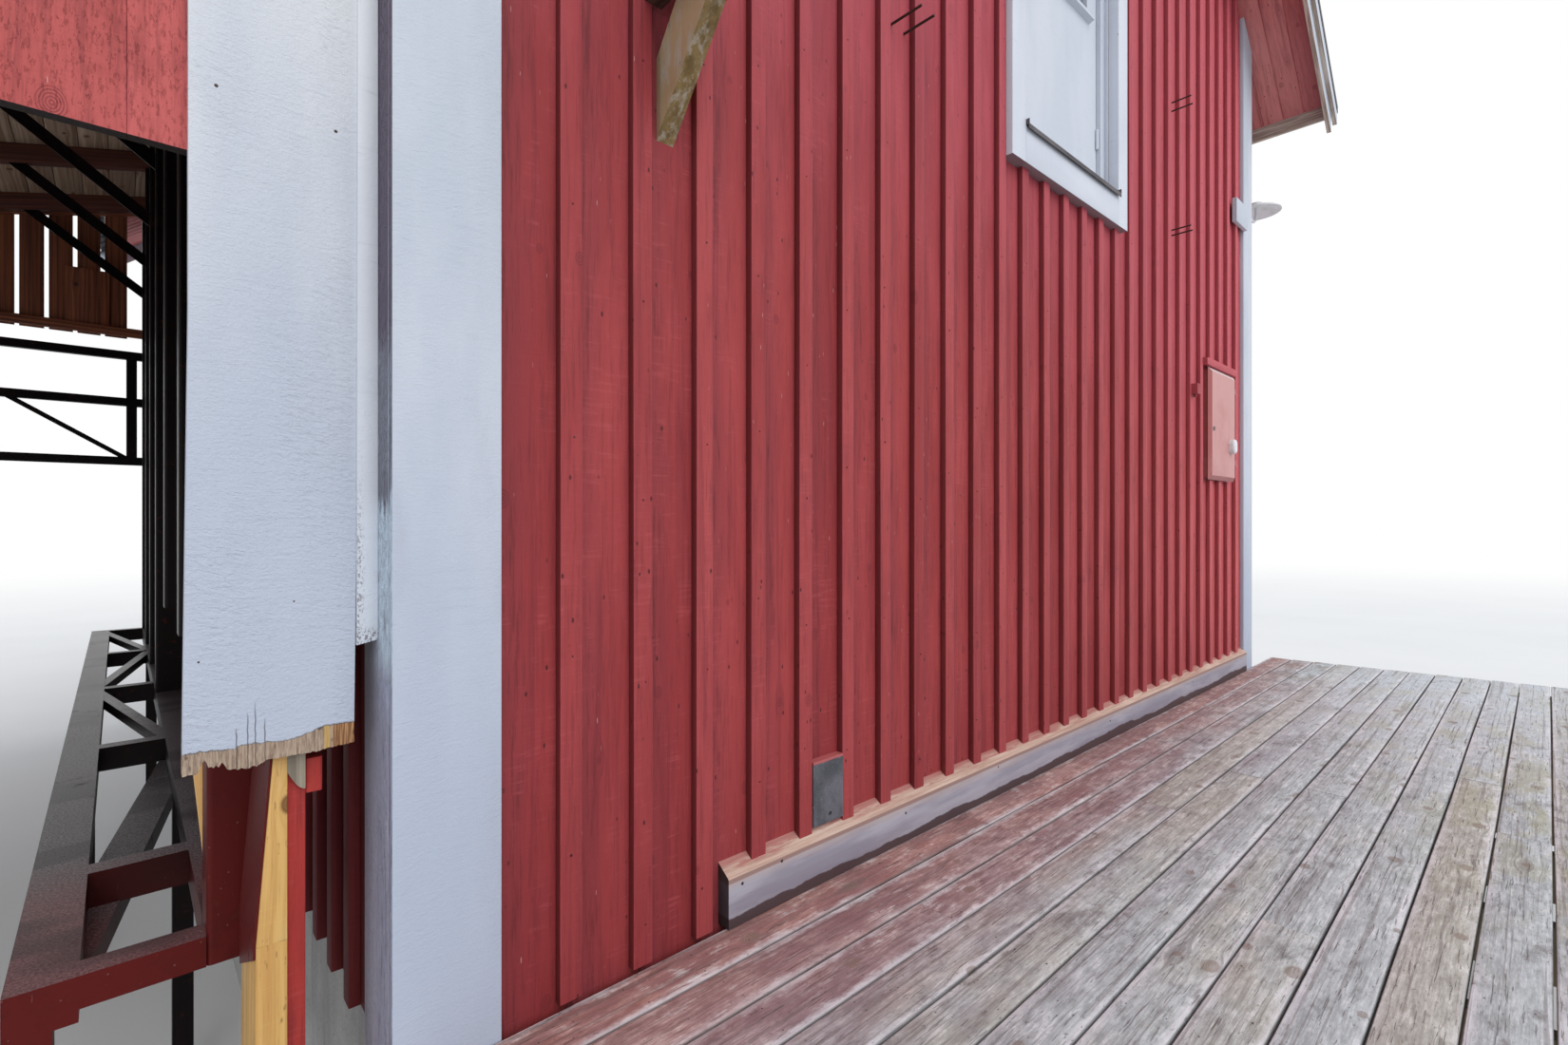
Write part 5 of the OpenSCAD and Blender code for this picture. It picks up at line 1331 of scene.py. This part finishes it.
# %% Floor
floor_paint = Paint("floor_pale")
v = floor_paint.place()
x, y, _ = floor_paint.split(v)
far = floor_paint.one("SQRT", x * x + y * y)
soft = floor_paint.noise(v, scale=0.5, detail=4)
pale = floor_paint.mix(rgb(226, 226, 226), rgb(236, 236, 236), soft)
floor_paint.finish(pale, rough=0.9)
glow = floor_paint.node("Emission", None, {"Color": (1, 1, 1, 1), "Strength": 1.0})
seen = floor_paint.node("LightPath", None, None, "Is Camera Ray")
lit = Socket(floor_paint, floor_paint.shader.outputs["BSDF"])
blend = floor_paint.node("MixShader", None, {0: floor_paint.step(far, 14, 40) * seen, 1: lit, 2: glow})
surface = next(n for n in floor_paint.tree.nodes if n.type == "OUTPUT_MATERIAL")
floor_paint.tree.links.new(blend.out, surface.inputs["Surface"])

# %% The floor's mesh
rows, reach = 24, 60.0
stops = [reach * (2 * i / rows - 1) for i in range(rows + 1)]
points = [(x, y, 0) for y in stops for x in stops]
squares = []
for j in range(rows):
    for i in range(rows):
        a = j * (rows + 1) + i
        squares.append((a, a + 1, a + rows + 2, a + rows + 1))
floor_mesh = bpy.data.meshes.new("floor")
floor_mesh.from_pydata(points, [], squares)
floor_mesh.materials.append(floor_paint.material)
floor = bpy.data.objects.new("floor", floor_mesh)
bpy.context.scene.collection.objects.link(floor)
print("floor squares", len(squares))

# %% Lamp
scene = bpy.context.scene
lamp = bpy.data.lights.new("broad_sun", "SUN")
lamp.energy = 1.45
lamp.angle = math.radians(55)
lamp_object = bpy.data.objects.new("broad_sun", lamp)
scene.collection.objects.link(lamp_object)
toward = Vector((0.0, -0.78, 0.62)).normalized()
lamp_object.rotation_euler = toward.to_track_quat("Z", "Y").to_euler()
print("lamp strength", lamp.energy, "towards", tuple(round(c, 2) for c in toward))

# %% Sky
world = bpy.data.worlds.new("sky")
world.use_nodes = True
scene.world = world
tree = world.node_tree
sky = next(n for n in tree.nodes if n.type == "BACKGROUND")
white = tree.nodes.new("ShaderNodeBackground")
for ground, colour, strength in ((sky, (0.92, 0.96, 1.0, 1), 0.8), (white, (1, 1, 1, 1), 1.0)):
    ground.inputs["Color"].default_value = colour
    ground.inputs["Strength"].default_value = strength
ray = tree.nodes.new("ShaderNodeLightPath")
either, any_ray = [tree.nodes.new("ShaderNodeMath") for _ in range(2)]
either.operation = any_ray.operation = "MAXIMUM"
join = tree.nodes.new("ShaderNodeMixShader")
end = next(n for n in tree.nodes if n.type == "OUTPUT_WORLD")
for out, into in ((ray.outputs["Is Camera Ray"], either.inputs[0]),
                  (ray.outputs["Is Glossy Ray"], either.inputs[1]),
                  (either.outputs[0], any_ray.inputs[0]),
                  (ray.outputs["Is Transmission Ray"], any_ray.inputs[1]),
                  (any_ray.outputs[0], join.inputs[0]),
                  (sky.outputs[0], join.inputs[1]),
                  (white.outputs[0], join.inputs[2]),
                  (join.outputs[0], end.inputs["Surface"])):
    tree.links.new(out, into)
scene.view_settings.view_transform = "Standard"
print("sky nodes", len(tree.nodes))

# %% Camera
view = bpy.data.cameras.new("camera")
view.lens = 16.36
view.sensor_width = 36
view.shift_y = -0.0018
view.clip_start = 0.02
camera = bpy.data.objects.new("camera", view)
scene.collection.objects.link(camera)
camera.location = (-2.970, -1.515, 2.093)
camera.rotation_euler = (math.radians(90), 0, math.radians(-43.0))
scene.camera = camera
print("camera at", tuple(camera.location), "lens", view.lens)
